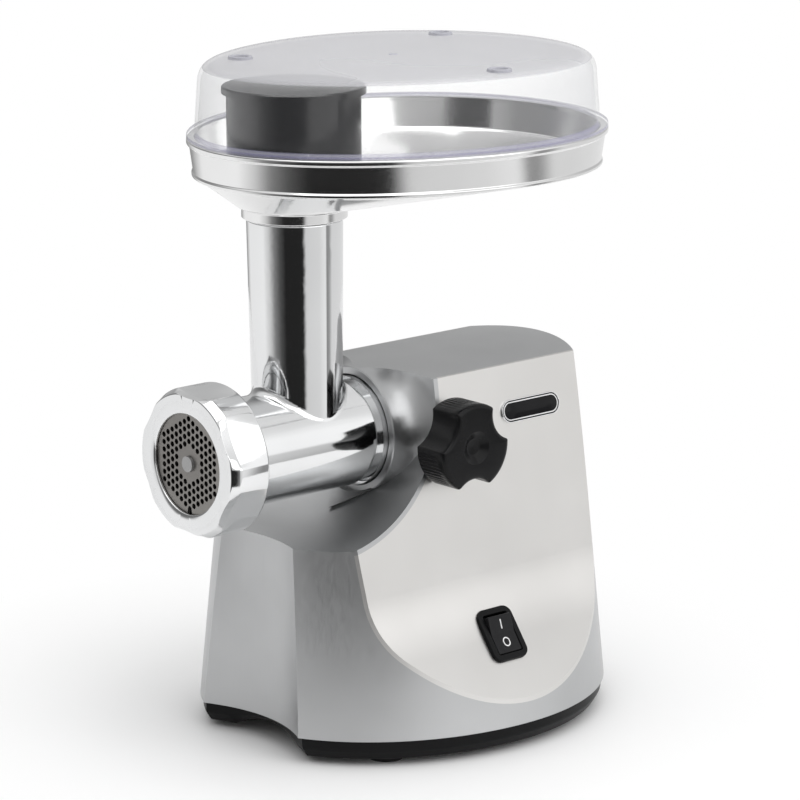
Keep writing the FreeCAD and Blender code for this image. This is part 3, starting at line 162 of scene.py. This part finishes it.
def clear_plastic(name, tint, thin, thick, rough):
    """A see-through plastic that grows denser towards its edges and lets most light through."""
    n = Nodes(name)
    facing = n.new("ShaderNodeLayerWeight")
    facing.inputs["Blend"].default_value = 0.35
    path = n.new("ShaderNodeLightPath")
    seen = n.new("ShaderNodeMapRange")
    seen.inputs["To Min"].default_value = LIGHT_SHARE
    n.link(path.outputs["Is Camera Ray"], seen.inputs["Value"])
    density = n.new("ShaderNodeMath", operation="MULTIPLY")
    n.link(n.spread(facing.outputs["Facing"], thin, thick, 0.05, 0.95), density.inputs[0])
    n.link(seen.outputs["Result"], density.inputs[1])
    haze = n.noise(n.place, 7.0, 1.0)
    n.link(n.tinted(haze, tuple(c * 0.94 for c in tint), tint), n.shader.inputs["Base Color"])
    n.link(density.outputs["Value"], n.shader.inputs["Alpha"])
    n.link(n.spread(haze, rough * 0.8, rough * 1.25), n.shader.inputs["Roughness"])
    n.put(IOR=1.5, Specular_IOR_Level=0.7)
    return n.material


BODY_SILVER = plain_metal("body_silver", (0.45, 0.455, 0.46), (0.51, 0.515, 0.52), (0.30, 0.38),
                          grain=(260, 260, 9), grain_scale=6.0, bump=0.06, distance=0.0001)
PANEL = plain_metal("brushed_panel", (0.64, 0.63, 0.615), (0.69, 0.68, 0.665), (0.30, 0.38),
                    grain=(300, 300, 6), grain_scale=6.0, bump=0.05, distance=0.0001)
POLISHED = plain_metal("polished_metal", (0.75, 0.755, 0.76), (0.81, 0.815, 0.82), (0.06, 0.11),
                       grain=(60, 60, 60), grain_scale=9.0, bump=0.02, distance=0.0001)
TRAY_METAL = plain_metal("tray_metal", (0.78, 0.78, 0.78), (0.84, 0.84, 0.84), (0.10, 0.17),
                         grain=(90, 90, 260), grain_scale=6.0, bump=0.03, distance=0.0001)
PLATE_STEEL = plain_metal("plate_steel", (0.22, 0.21, 0.20), (0.30, 0.29, 0.275), (0.30, 0.42),
                          grain=(200, 200, 200), grain_scale=8.0, bump=0.08, distance=0.0001)
STEEL = plain_metal("steel", (0.55, 0.55, 0.55), (0.64, 0.64, 0.64), (0.16, 0.28))
CAST_ALLOY = plain_metal("cast_alloy", (0.42, 0.42, 0.42), (0.52, 0.52, 0.52), (0.40, 0.55),
                         grain=(300, 300, 300), bump=0.25)
BRASS = plain_metal("brass", (0.60, 0.43, 0.18), (0.70, 0.52, 0.24), (0.2, 0.32))
COPPER = plain_metal("copper", (0.50, 0.21, 0.09), (0.62, 0.28, 0.13), (0.28, 0.4),
                     grain=(300, 20, 300), bump=0.5, distance=0.0004)
LAMINATION = plain_metal("lamination", (0.20, 0.20, 0.21), (0.30, 0.30, 0.31), (0.40, 0.55),
                         grain=(6, 900, 6), bump=0.4)
BLACK_PLASTIC = moulded("black_plastic", (0.004, 0.004, 0.0045), (0.007, 0.007, 0.0075), (0.34, 0.46))
KNOB_BLACK = moulded("knob_black", (0.004, 0.004, 0.0045), (0.007, 0.007, 0.0075), (0.22, 0.32),
                     grain=700.0, bump=0.1, gloss=0.16)
PUSHER_BLACK = moulded("pusher_black", (0.005, 0.005, 0.0055), (0.007, 0.007, 0.008), (0.16, 0.24),
                       grain=300.0, bump=0.02, gloss=0.9)
ROCKER_BLACK = moulded("rocker_black", (0.012, 0.012, 0.013), (0.018, 0.018, 0.019), (0.16, 0.24),
                       bump=0.05)
RUBBER = moulded("rubber", (0.016, 0.016, 0.016), (0.026, 0.026, 0.026), (0.62, 0.78), bump=0.3)
CARBON = moulded("carbon", (0.03, 0.03, 0.03), (0.06, 0.06, 0.06), (0.5, 0.65), bump=0.3)
GEAR_PLASTIC = moulded("gear_plastic", (0.62, 0.60, 0.53), (0.72, 0.70, 0.63), (0.32, 0.45))
WHITE_PLASTIC = moulded("white_plastic", (0.72, 0.72, 0.70), (0.82, 0.82, 0.80), (0.35, 0.5))
MARK_WHITE = moulded("mark_white", (0.70, 0.70, 0.70), (0.85, 0.85, 0.85), (0.35, 0.45), bump=0.02)
BADGE_BLACK = moulded("badge_black", (0.006, 0.006, 0.007), (0.010, 0.010, 0.011), (0.07, 0.12),
                      bump=0.02)
CLEAR = clear_plastic("clear_plastic", (0.80, 0.81, 0.84), 0.02, 0.30, 0.05)
CLEAR_RIM = clear_plastic("clear_rim", (0.34, 0.33, 0.50), 0.35, 0.75, 0.06)
CLEAR_TOP = clear_plastic("clear_top", (0.52, 0.52, 0.545), 0.22, 0.82, 0.26)
CLEAR_MARK = clear_plastic("clear_mark", (0.46, 0.46, 0.52), 0.55, 0.90, 0.10)

SLOT_LOOKS = {
    "body_silver": BODY_SILVER, "brushed_panel": PANEL, "polished_metal": POLISHED,
    "plate_steel": PLATE_STEEL, "steel": STEEL, "cast_alloy": CAST_ALLOY, "brass": BRASS,
    "copper": COPPER, "lamination": LAMINATION, "black_plastic": BLACK_PLASTIC,
    "pusher_black": PUSHER_BLACK, "rocker_black": ROCKER_BLACK, "rubber": RUBBER, "carbon": CARBON,
    "gear_plastic": GEAR_PLASTIC, "white_plastic": WHITE_PLASTIC, "badge_black": BADGE_BLACK,
    "clear_plastic": CLEAR,
}


# ---------------------------------------------------------------- mesh helpers

def piece(name, points, faces, material, body, smooth_angle=32.0):
    """A mesh object of the part, in millimetres, riding on a body."""
    mesh = bpy.data.meshes.new(name)
    mesh.from_pydata([tuple(c * MM for c in p) for p in points], [], faces)
    mesh.validate()
    form = bmesh.new()
    form.from_mesh(mesh)
    bmesh.ops.recalc_face_normals(form, faces=form.faces)
    form.to_mesh(mesh)
    form.free()
    mesh.shade_smooth()
    mesh.set_sharp_from_angle(angle=math.radians(smooth_angle))
    mesh.materials.append(material)
    obj = bpy.data.objects.new(name, mesh)
    bpy.context.scene.collection.objects.link(obj)
    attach(obj, body)
    return obj


def grid(rings, closed_rings):
    """Faces between rings of equal length; closed_rings joins the last ring to the first."""
    points = [p for ring in rings for p in ring]
    count = len(rings[0])
    faces = []
    spans = len(rings) if closed_rings else len(rings) - 1
    for i in range(spans):
        here = i * count
        there = ((i + 1) % len(rings)) * count
        for k in range(count):
            nxt = (k + 1) % count
            faces.append((here + k, here + nxt, there + nxt, there + k))
    return points, faces


def capped(rings):
    """A grid whose first and last rings are filled by single faces."""
    points, faces = grid(rings, False)
    count = len(rings[0])
    faces.append(tuple(range(count)))
    last = (len(rings) - 1) * count
    faces.append(tuple(last + k for k in range(count)))
    return points, faces


def rounded_path(corners, closed=True, steps=5):
    """Corners (a, b, radius) joined by straight lines, each corner rounded by its radius."""
    path = []
    count = len(corners)
    for i, (a, b, radius) in enumerate(corners):
        at = Vector((a, b))
        if radius <= 0 or (not closed and i in (0, count - 1)):
            path.append((a, b))
            continue
        before = Vector(corners[i - 1][:2]) - at
        after = Vector(corners[(i + 1) % count][:2]) - at
        angle = before.angle(after)
        reach = min(radius / math.tan(angle / 2), before.length * 0.49, after.length * 0.49)
        start = at + before.normalized() * reach
        end = at + after.normalized() * reach
        for step in range(steps + 1):
            t = step / steps
            curve = start * (1 - t) ** 2 + at * 2 * t * (1 - t) + end * t ** 2
            path.append((curve.x, curve.y))
    return path


def smooth_step(t):
    """0 to 1 with flat ends."""
    t = max(0.0, min(1.0, t))
    return t * t * (3 - 2 * t)


def circle(x, y, radius, z, count):
    """A level circle of points."""
    return [(x + radius * math.cos(TAU * k / count), y + radius * math.sin(TAU * k / count), z)
            for k in range(count)]


for entry in frame["record"]["subparts"]:
    node = frame["nodes"][entry["node"]]
    node.data.materials.clear()
    node.data.materials.append(SLOT_LOOKS[entry["material_slot"]])


# ---------------------------------------------------------------- ring nut

def hollowed(radius, angle, count, phase, waist, hollow, soft):
    """A radius cut by evenly spaced round hollows, with a soft edge between the two."""
    pitch = TAU / count
    off = (angle - phase + pitch / 2) % pitch - pitch / 2
    reach = waist + hollow
    across = reach * math.sin(off)
    if abs(across) >= hollow:
        return radius
    floor = reach * math.cos(off) - math.sqrt(hollow ** 2 - across ** 2)
    if floor - radius > 12 * soft:
        return radius
    return -soft * math.log(math.exp(-(radius - waist) / soft) + math.exp(-(floor - waist) / soft)) + waist


def nut_piece():
    """The ring nut: a polished ring with six thumb hollows that run out towards its rear."""
    grip_radius = 35.0
    waist = 36.5
    hollow = 66.0
    steps = 480
    section = rounded_path([  # along the axis from the plate, radius, corner radius
        (-2.2, 28.4, 0.0), (-2.2, 38.0, 1.2), (2.6, 40.8, 3.0), (21.9, 40.8, 1.4), (21.9, 34.6, 0.6),
        (-0.3, 34.6, 0.3), (-0.3, 27.3, 0.2), (-1.6, 27.3, 0.8)])
    rings = []
    for y, radius in section:
        ring = []
        for step in range(steps):
            angle = TAU * step / steps
            reach = radius
            if radius > grip_radius:
                rise = 4.6 * smooth_step((y - 8.0) / 10.0)
                reach = hollowed(radius, angle, 6, math.radians(27), waist + rise, hollow, 0.22)
            ring.append((reach * math.cos(angle), PLATE_Y + y, HEAD_Z + reach * math.sin(angle)))
        rings.append(ring)
    points, faces = grid(rings, True)
    nut = piece("nut_ring", points, faces, POLISHED, "nut", 38.0)
    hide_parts("ring_nut")


# ---------------------------------------------------------------- clamp knob

def knob_piece():
    """The three-lobed clamp knob with a dished face and fine grip ribs on its lobes."""
    lobe_radius = 24.3
    grip_radius = 12.0
    slice_length = 1.6
    rib_depth = 0.34
    ribs = 66
    steps = 720
    lobe_pitch = TAU / 3
    section = rounded_path([  # along the axis, radius, corner radius
        (7.9, 3.02, 0.0), (-1.0, 3.02, 0.0), (-1.0, 11.0, 0.4), (0.0, 11.0, 0.2), (0.0, 24.3, 1.4),
        (21.6, 24.3, 3.0), (21.6, 9.2, 0.7), (18.6, 4.5, 3.0), (18.3, 0.4, 0.0)], closed=False, steps=6)
    dense = []
    for (a0, r0), (a1, r1) in zip(section, section[1:]):
        parts = max(1, int(abs(a1 - a0) / slice_length)) if min(r0, r1) > 20 else 1
        dense += [(a0 + (a1 - a0) * k / parts, r0 + (r1 - r0) * k / parts) for k in range(parts)]
    dense.append(section[-1])
    rings = []
    for along, radius in dense:
        ring = []
        for step in range(steps):
            angle = TAU * step / steps
            reach = radius
            if radius > grip_radius:
                waist = 17.5 - (lobe_radius - radius) * 0.9
                reach = hollowed(radius, angle, 3, math.radians(30), waist, 16.7, 0.35)
            if radius > lobe_radius - 0.8:
                lobe = (angle - math.radians(90) + lobe_pitch / 2) % lobe_pitch - lobe_pitch / 2
                window = smooth_step((math.radians(27) - abs(lobe)) / math.radians(5))
                window *= smooth_step((along - 1.5) / 2.0) * smooth_step((17.5 - along) / 2.0)
                reach -= rib_depth * window * (0.5 + 0.5 * math.cos(ribs * angle))
            y = KNOB.y + reach * math.cos(angle)
            ring.append((KNOB.x + along, y, KNOB.z + reach * math.sin(angle)))
        rings.append(ring)
    points, faces = capped(rings)
    knob = piece("clamp_knob_grip", points, faces, KNOB_BLACK, "knob", 40.0)
    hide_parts("clamp_knob")


# ---------------------------------------------------------------- tray and cover

EGG_STEPS = 288


def egg(inset, z):
    """One closed egg curve, inset from the tray's rim."""
    ring = []
    for step in range(EGG_STEPS):
        angle = TAU * step / EGG_STEPS
        x = (TRAY_WIDE - inset) * math.sin(angle) * (1 + TRAY_EGG * math.cos(angle))
        ring.append((x, TRAY_Y + (TRAY_LONG - inset) * math.cos(angle), z))
    return ring


def tube_ring(radius, z):
    """A circle about the feed tube, point for point with the egg curve."""
    ring = []
    for step in range(EGG_STEPS):
        angle = TAU * step / EGG_STEPS
        ring.append((radius * math.sin(angle), TUBE_Y + radius * math.cos(angle), z))
    return ring


def between(first, last, count, bow=0.0):
    """Rings between two rings, bowed up or down halfway."""
    rings = []
    for step in range(1, count):
        t = step / count
        lift = bow * 4 * t * (1 - t)
        rings.append([tuple(p + (q - p) * t + (lift if axis == 2 else 0.0)
                            for axis, (p, q) in enumerate(zip(a, b))) for a, b in zip(first, last)])
    return rings


def tray_piece():
    """The pressed tray: rolled rim, upright band with a foot bead, dished floor and collar."""
    band = rounded_path([  # inset from the rim, height, corner radius
        (3.2, RIM_Z, 0.6), (-1.0, RIM_Z, 0.9), (-1.0, 328.2, 0.8), (0.5, 327.4, 0.8), (2.5, 313.2, 0.6),
        (1.7, 312.2, 0.5), (1.8, 310.7, 0.7), (4.6, 310.2, 0.8)], closed=False)
    outer = [egg(inset, z) for inset, z in band]
    collar = [tube_ring(r, z) for r, z in rounded_path([
        (30.5, 296.6, 0.0), (28.5, 296.0, 0.8), (28.5, 290.6, 0.6), (25.9, 290.6, 0.2), (22.3, 290.6, 0.2),
        (22.3, 281.2, 0.5), (20.95, 281.2, 0.3), (20.95, 297.0, 1.2), (25.0, 297.6, 0.8)], closed=False)]
    inner = [egg(inset, z) for inset, z in rounded_path([
        (8.4, 312.3, 0.0), (4.9, 313.0, 2.0), (2.4, 328.4, 0.6), (2.2, 330.2, 0.4)], closed=False)]
    rings = outer + between(outer[-1], collar[0], 10) + collar + between(collar[-1], inner[0], 10) + inner
    points, faces = grid(rings, True)
    tray = piece("tray_pressing", points, faces, TRAY_METAL, "tray", 40.0)
    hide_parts("tray")


def shrunk(ring, scale):
    """A ring drawn in towards the tray's middle."""
    return [(x * scale, TRAY_Y + (y - TRAY_Y) * scale, z) for x, y, z in ring]


def cover_piece():
    """The clear cover: frosted grey top, clear wall and a thick flange on the tray's rim."""
    lid_underside = 368.2
    flange_top = 333.6
    wall_path = rounded_path([  # inset from the rim, height, corner radius
        (24.0, COVER_TOP, 0.0), (6.2, 370.4, 12.0), (3.4, 333.4, 1.2), (-0.9, 333.0, 0.5),
        (-0.9, 331.1, 0.5), (3.6, 331.1, 0.3), (5.2, 333.4, 1.0), (8.0, 368.6, 11.0),
        (24.5, 369.2, 0.0)], closed=False, steps=10)
    wall = [egg(inset, z) for inset, z in wall_path]
    shares = (0.02, 0.2, 0.4, 0.6, 0.8, 0.93)
    lids = [shrunk(wall[0], share) for share in shares]
    linings = [shrunk(wall[-1], share) for share in reversed(shares)]
    points, faces = capped(lids + wall + linings)
    cover = piece("cover_shell", points, faces, CLEAR, "cover", 50.0)
    cover.data.materials.append(CLEAR_TOP)
    cover.data.materials.append(CLEAR_RIM)
    for face in cover.data.polygons:
        height = face.center.z / MM
        if height > lid_underside:
            face.material_index = 1
        elif height < flange_top and abs(face.normal.z) < 0.6:
            face.material_index = 2
    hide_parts("cover")


def cover_marks():
    """Three low rings and the moulding gate on the cover's top."""
    spread = 84.0
    foot = COVER_TOP - 0.1
    ring_path = rounded_path([(4.4, foot, 0.0), (4.6, 372.6, 0.6), (6.5, 372.6, 0.6), (6.8, foot, 0.0)],
                             closed=False)
    for number in range(3):
        angle = TAU / 3 * number
        x = spread * math.cos(angle)
        y = TRAY_Y + spread * math.sin(angle)
        points, faces = grid([circle(x, y, radius, z, 48) for radius, z in ring_path], True)
        piece(f"cover_ring_{number + 1}", points, faces, CLEAR_MARK, "cover", 50.0)
    gate_path = rounded_path([(0.3, 371.5, 0.0), (2.0, 371.5, 0.3), (2.6, foot, 0.0)], closed=False)
    points, faces = capped([circle(0.0, TRAY_Y, radius, z, 32) for radius, z in gate_path])
    piece("cover_gate", points, faces, CLEAR_MARK, "cover", 50.0)


# ---------------------------------------------------------------- base

BASE_TOP = 15.0
BASE_DRAFT = 0.0975
BIB_AXIS_Y = -174.5
BIB_RADIUS = 88.1
BASE_STEPS = 260


def base_outline(inset, z, bib_radius):
    """The base's plan at a height: two half ellipses with a hollow front, anticlockwise from the front."""
    taper = BASE_DRAFT * (z - BASE_TOP) + inset
    half, front, rear, middle = 104.0 - taper, 125.0 - taper, 118.0 - taper, 18.0

    def on_plan(angle):
        length = front if math.cos(angle) > 0 else rear
        return half * math.sin(angle), middle - length * math.cos(angle)

    low, high = 0.0, 1.2
    for _ in range(40):
        start = (low + high) / 2
        x, y = on_plan(start)
        low, high = (start, high) if math.hypot(x, y - BIB_AXIS_Y) < bib_radius else (low, start)
    sweep = TAU - 2 * start
    ring = [(*on_plan(start + sweep * k / BASE_STEPS), z) for k in range(BASE_STEPS + 1)]
    x, y = on_plan(start)
    turn = math.atan2(x, y - BIB_AXIS_Y)
    for k in range(1, 80):
        angle = -turn + 2 * turn * k / 80
        ring.append((bib_radius * math.sin(angle), BIB_AXIS_Y + bib_radius * math.cos(angle), z))
    return ring


def base_piece():
    """The black base: a band under the casing, tucked in below and arched at the hollow front."""
    top, bottom = 14.9, 3.6
    arch_radius, arch_drop, arch_half = 60.0, 53.2, 28.0
    section = rounded_path([(1.7, top, 0.5), (2.2, 9.0, 4.0), (6.0, bottom, 2.4), (12.0, bottom, 0.0)],
                           closed=False, steps=7)
    rings = []
    for inset, z in section:
        ring = []
        for index, (x, y, height) in enumerate(base_outline(inset, z, BIB_RADIUS + inset * 0.8)):
            arch = 0.0
            if index > BASE_STEPS:
                arch = math.sqrt(arch_radius ** 2 - min(abs(x), arch_half) ** 2) - arch_drop
            ring.append((x, y, height + max(0.0, arch) * (top - z) / (top - bottom)))
        rings.append(ring)
    points, faces = capped(rings)
    base = piece("base_band", points, faces, BLACK_PLASTIC, "root", 42.0)
    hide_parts("base_plate")


# ---------------------------------------------------------------- badge, switch

def on_side(y, z, slope_x, slope_z, x):
    """Matrix of a frame on the right side panel: local X along +Y, Y up the slope, Z out of it."""
    rise = Vector((slope_x, 0, slope_z)).normalized()
    along = Vector((0, 1, 0))
    out = along.cross(rise)
    return Matrix(((along.x, rise.x, out.x, x), (along.y, rise.y, out.y, y),
                   (along.z, rise.z, out.z, z), (0, 0, 0, 1)))


def pill(length, width, radius, count=96):
    """A rounded rectangle as a list of points, started on its right-hand side."""
    points = []
    half_x = length / 2 - radius
    half_y = width / 2 - radius
    for step in range(count):
        angle = TAU * (step + 0.5) / count
        corner_x = half_x if math.cos(angle) > 0 else -half_x
        corner_y = half_y if math.sin(angle) > 0 else -half_y
        points.append((corner_x + radius * math.cos(angle), corner_y + radius * math.sin(angle)))
    return points


def pill_solid(name, loops, place, material, body, closed):
    """A solid from rounded rectangles (length, width, radius, height), placed on the side panel."""
    rings = []
    for length, width, radius, height in loops:
        ring = [place @ Vector((x, y, height)) for x, y in pill(length, width, radius)]
        rings.append([tuple(p) for p in ring])
    points, faces = grid(rings, True) if closed else capped(rings)
    return piece(name, points, faces, material, body, 35.0)


BADGE_PLACE = on_side(66.0, 173.5, -0.205, 1.0, 48.228)
SWITCH_PLACE = on_side(15.5, 59.0, -0.5986, 0.80105, 79.462)


def badge_pieces():
    """A blank pill badge: bright rim, pale line and a gloss black field."""
    looks = (
        ("badge_rim", POLISHED, "badge_black", True, [
            (44.0, 13.0, 6.49, 0.03), (44.0, 13.0, 6.49, 0.9), (43.5, 12.5, 6.24, 1.3),
            (42.9, 11.9, 5.94, 1.3), (42.5, 11.5, 5.74, 1.0), (42.5, 11.5, 5.74, 0.03)]),
        ("badge_field", BADGE_BLACK, "badge_black", False, [
            (42.45, 11.45, 5.71, 0.1), (42.45, 11.45, 5.71, 0.8), (42.0, 11.0, 5.49, 0.9),
            (20.0, 2.0, 0.9, 1.0)]),
        ("badge_line", MARK_WHITE, "white_plastic", True, [
            (41.3, 10.3, 5.14, 0.85), (41.3, 10.3, 5.14, 1.02), (40.1, 9.1, 4.54, 1.06),
            (40.1, 9.1, 4.54, 0.85)]),
    )
    for name, material, slot, closed, loops in looks:
        part = pill_solid(name, loops, BADGE_PLACE, material, "root", closed)
        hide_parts("badge_plate")


def switch_pieces():
    """The switch's bezel, its rocker, and the generic on and off marks on the rocker."""
    bezel = pill_solid("switch_frame", [
        (25.0, 31.0, 5.4, 0.05), (25.0, 31.0, 5.4, 1.5), (24.4, 30.4, 5.1, 2.3), (23.4, 29.4, 4.6, 2.6),
        (18.6, 24.6, 1.6, 2.6), (17.9, 23.9, 1.25, 2.4), (17.5, 23.5, 1.05, 1.9), (17.4, 23.4, 1.0, -9.0),
        (20.0, 26.0, 1.4, -9.0), (20.0, 26.0, 1.4, 0.0)],
        SWITCH_PLACE, BLACK_PLASTIC, "root", True)
    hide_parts("switch_bezel")
    side = rounded_path([(-11.4, -2.2, 0.3), (-11.4, 2.2, 1.0), (0.0, 2.4, 1.2), (9.7, 5.5, 1.0),
                         (11.0, 0.9, 0.5), (10.9, -2.6, 0.5), (0.0, -7.0, 0.6)], steps=4)
    rings = []
    for across, inset in ((-8.3, 0.5), (-8.15, 0.18), (-7.8, 0.0), (7.8, 0.0), (8.15, 0.18), (8.3, 0.5)):
        ring = []
        for up, out in side:
            pulled = Vector((up, out + 0.5)) * (1 - inset / 11.0) - Vector((0, 0.5))
            ring.append(tuple(SWITCH_PLACE @ Vector((across, pulled.x, pulled.y))))
        rings.append(ring)
    points, faces = capped(rings)
    rocker = piece("rocker_cap", points, faces, ROCKER_BLACK, "rocker", 30.0)
    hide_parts("rocker")

    def mark(name, loops, up, out, lean):
        tilt = Matrix.Translation((0, up, out)) @ Matrix.Rotation(lean, 4, "X")
        pill_solid(name, loops, SWITCH_PLACE @ tilt, MARK_WHITE, "rocker", True)

    high_lean = math.atan2(3.1, 9.7)
    mark("mark_on", [(0.75, 5.4, 0.3, -0.1), (0.75, 5.4, 0.3, 0.06), (0.1, 4.8, 0.04, 0.08),
                     (0.1, 4.8, 0.04, -0.1)], 4.9, 3.97, high_lean)
    mark("mark_off", [(4.8, 5.4, 2.39, -0.1), (4.8, 5.4, 2.39, 0.07), (3.5, 4.1, 1.74, 0.07),
                      (3.5, 4.1, 1.74, -0.1)], -5.2, 2.31, math.atan2(0.2, 11.4))


nut_piece()
knob_piece()
tray_piece()
cover_piece()
cover_marks()
base_piece()
badge_pieces()
switch_pieces()


# ---------------------------------------------------------------- stage, light and camera

CAMERA_BACK = Vector((0.7262, -0.6461, 0.2348)).normalized()
CAMERA_DISTANCE = 1.99769
CAMERA_AIM = Vector((0.0, 0.01244, 0.17742))
TOWARD_CAMERA = Vector((0.7471, -0.6647, 0.0))
TO_THE_RIGHT = Vector((0.6647, 0.7471, 0.0))

# Surroundings as (angle from the camera's direction in degrees, positive to the right; brightness).
LOW_RING = ((-180, 0.20), (-160, 0.35), (-136, 0.95), (-82, 1.0), (-64, 0.68), (-50, 0.24), (-36, 0.09),
            (-22, 0.02), (20, 0.02), (28, 0.75), (62, 0.80), (78, 0.95), (84, 0.28), (91, 0.34), (100, 0.78),
            (180, 0.85))
HIGH_RING = ((-180, 0.58), (-140, 0.30), (-95, 0.16), (-66, 0.22), (-45, 0.50), (-20, 0.45), (10, 0.55),
             (50, 1.0), (85, 1.15), (110, 0.85), (135, 0.58), (180, 0.58))
SKY = ((0.0, 0.5), (0.35, 0.60), (0.65, 0.85), (1.0, 0.85))


def grey_ramp(tree, value, stops):
    """A colour ramp of greys from (position, brightness) stops."""
    ramp = tree.nodes.new("ShaderNodeValToRGB")
    elements = ramp.color_ramp.elements
    while len(elements) < len(stops):
        elements.new(0.5)
    for element, (place, grey) in zip(elements, stops):
        element.position = place
        element.color = (grey, grey, grey, 1)
    tree.links.new(value, ramp.inputs["Fac"])
    return ramp.outputs["Color"]


def ring_stops(ring):
    """Angles in degrees turned into ramp positions."""
    return [((angle + 180) / 360, grey) for angle, grey in ring]


def studio_world():
    """A plain white backdrop to the camera; a soft studio with darker gaps to everything else."""
    world = bpy.data.worlds.new("studio")
    bpy.context.scene.world = world
    world.use_nodes = True
    tree = world.node_tree
    tree.nodes.clear()

    def new(kind, **settings):
        node = tree.nodes.new(kind)
        for key, value in settings.items():
            setattr(node, key, value)
        return node

    def along(direction):
        dot = new("ShaderNodeVectorMath", operation="DOT_PRODUCT")
        dot.inputs[1].default_value = direction
        tree.links.new(coord.outputs["Generated"], dot.inputs[0])
        return dot.outputs["Value"]

    def ranged(value, low, high, smooth):
        node = new("ShaderNodeMapRange", interpolation_type="SMOOTHSTEP" if smooth else "LINEAR")
        node.inputs["From Min"].default_value = low
        node.inputs["From Max"].default_value = high
        tree.links.new(value, node.inputs["Value"])
        return node.outputs["Result"]

    def mixed(share, first, second):
        node = new("ShaderNodeMix", data_type="RGBA")
        tree.links.new(share, node.inputs[0])
        tree.links.new(first, node.inputs[6])
        tree.links.new(second, node.inputs[7])
        return node.outputs[2]

    coord = new("ShaderNodeTexCoord")
    height = along(Vector((0, 0, 1)))
    angle = new("ShaderNodeMath", operation="ARCTAN2")
    tree.links.new(along(TO_THE_RIGHT), angle.inputs[0])
    tree.links.new(along(TOWARD_CAMERA), angle.inputs[1])
    around = ranged(angle.outputs["Value"], -math.pi, math.pi, False)
    low_ring = grey_ramp(tree, around, ring_stops(LOW_RING))
    high_ring = grey_ramp(tree, around, ring_stops(HIGH_RING))
    sky = grey_ramp(tree, height, SKY)
    upper = mixed(ranged(height, 0.35, 0.75, True), high_ring, sky)
    shades = mixed(ranged(height, -0.04, 0.04, True), low_ring, upper)
    dome = new("ShaderNodeBackground")
    tree.links.new(shades, dome.inputs["Color"])
    plain = new("ShaderNodeBackground")
    plain.inputs["Color"].default_value = (1, 1, 1, 1)
    path = new("ShaderNodeLightPath")
    mix = new("ShaderNodeMixShader")
    out = new("ShaderNodeOutputWorld")
    tree.links.new(path.outputs["Is Camera Ray"], mix.inputs["Fac"])
    tree.links.new(dome.outputs["Background"], mix.inputs[1])
    tree.links.new(plain.outputs["Background"], mix.inputs[2])
    tree.links.new(mix.outputs["Shader"], out.inputs["Surface"])


def floor_disc():
    """A plain white floor that fades into the backdrop away from the machine."""
    mesh = bpy.data.meshes.new("floor")
    middle = TOWARD_CAMERA * -0.38
    rim = circle(middle.x, middle.y, 0.8, 0.0, 96)
    mesh.from_pydata(rim, [], [tuple(range(len(rim)))])
    floor = bpy.data.objects.new("floor", mesh)
    bpy.context.scene.collection.objects.link(floor)
    pale = Nodes("floor_pale")
    pale.put(Base_Color=(0.93, 0.93, 0.93, 1), Roughness=0.6)
    reach = pale.new("ShaderNodeVectorMath", operation="LENGTH")
    pale.link(pale.place, reach.inputs[0])
    fade = pale.spread(reach.outputs["Value"], 0.0, 1.0, 0.15, 0.32)
    seen = pale.new("ShaderNodeMath", operation="MULTIPLY")
    pale.link(fade, seen.inputs[0])
    pale.link(pale.new("ShaderNodeLightPath").outputs["Is Camera Ray"], seen.inputs[1])
    glow = pale.new("ShaderNodeEmission")
    mix = pale.new("ShaderNodeMixShader")
    pale.link(seen.outputs["Value"], mix.inputs["Fac"])
    pale.link(pale.shader.outputs["BSDF"], mix.inputs[1])
    pale.link(glow.outputs["Emission"], mix.inputs[2])
    pale.link(mix.outputs["Shader"], pale.tree.nodes["Material Output"].inputs["Surface"])
    mesh.materials.append(pale.material)


def soft_light(name, place, aim, size, power):
    """A rectangular soft light aimed at a point."""
    light = bpy.data.lights.new(name, "AREA")
    light.shape = "RECTANGLE"
    light.size, light.size_y = size
    light.energy = power
    obj = bpy.data.objects.new(name, light)
    bpy.context.scene.collection.objects.link(obj)
    obj.location = place
    obj.rotation_euler = (Vector(aim) - Vector(place)).to_track_quat("-Z", "Y").to_euler()


def camera():
    """The camera, at the photographed angle."""
    data = bpy.data.cameras.new("camera")
    data.sensor_width = 36.0
    data.lens = 161.76
    data.clip_end = 50.0
    obj = bpy.data.objects.new("camera", data)
    bpy.context.scene.collection.objects.link(obj)
    obj.location = CAMERA_AIM + CAMERA_BACK * CAMERA_DISTANCE
    obj.rotation_euler = (-CAMERA_BACK).to_track_quat("-Z", "Y").to_euler()
    bpy.context.scene.camera = obj


studio_world()
floor_disc()
soft_light("overhead", (0.25, -0.15, 2.2), (0, 0, 0), (2.0, 2.0), 20.0)
soft_light("key_right", (2.1, 0.2, 1.3), (0, 0, 0.15), (2.4, 2.0), 13.0)
camera()
bpy.context.scene.view_settings.view_transform = "Standard"
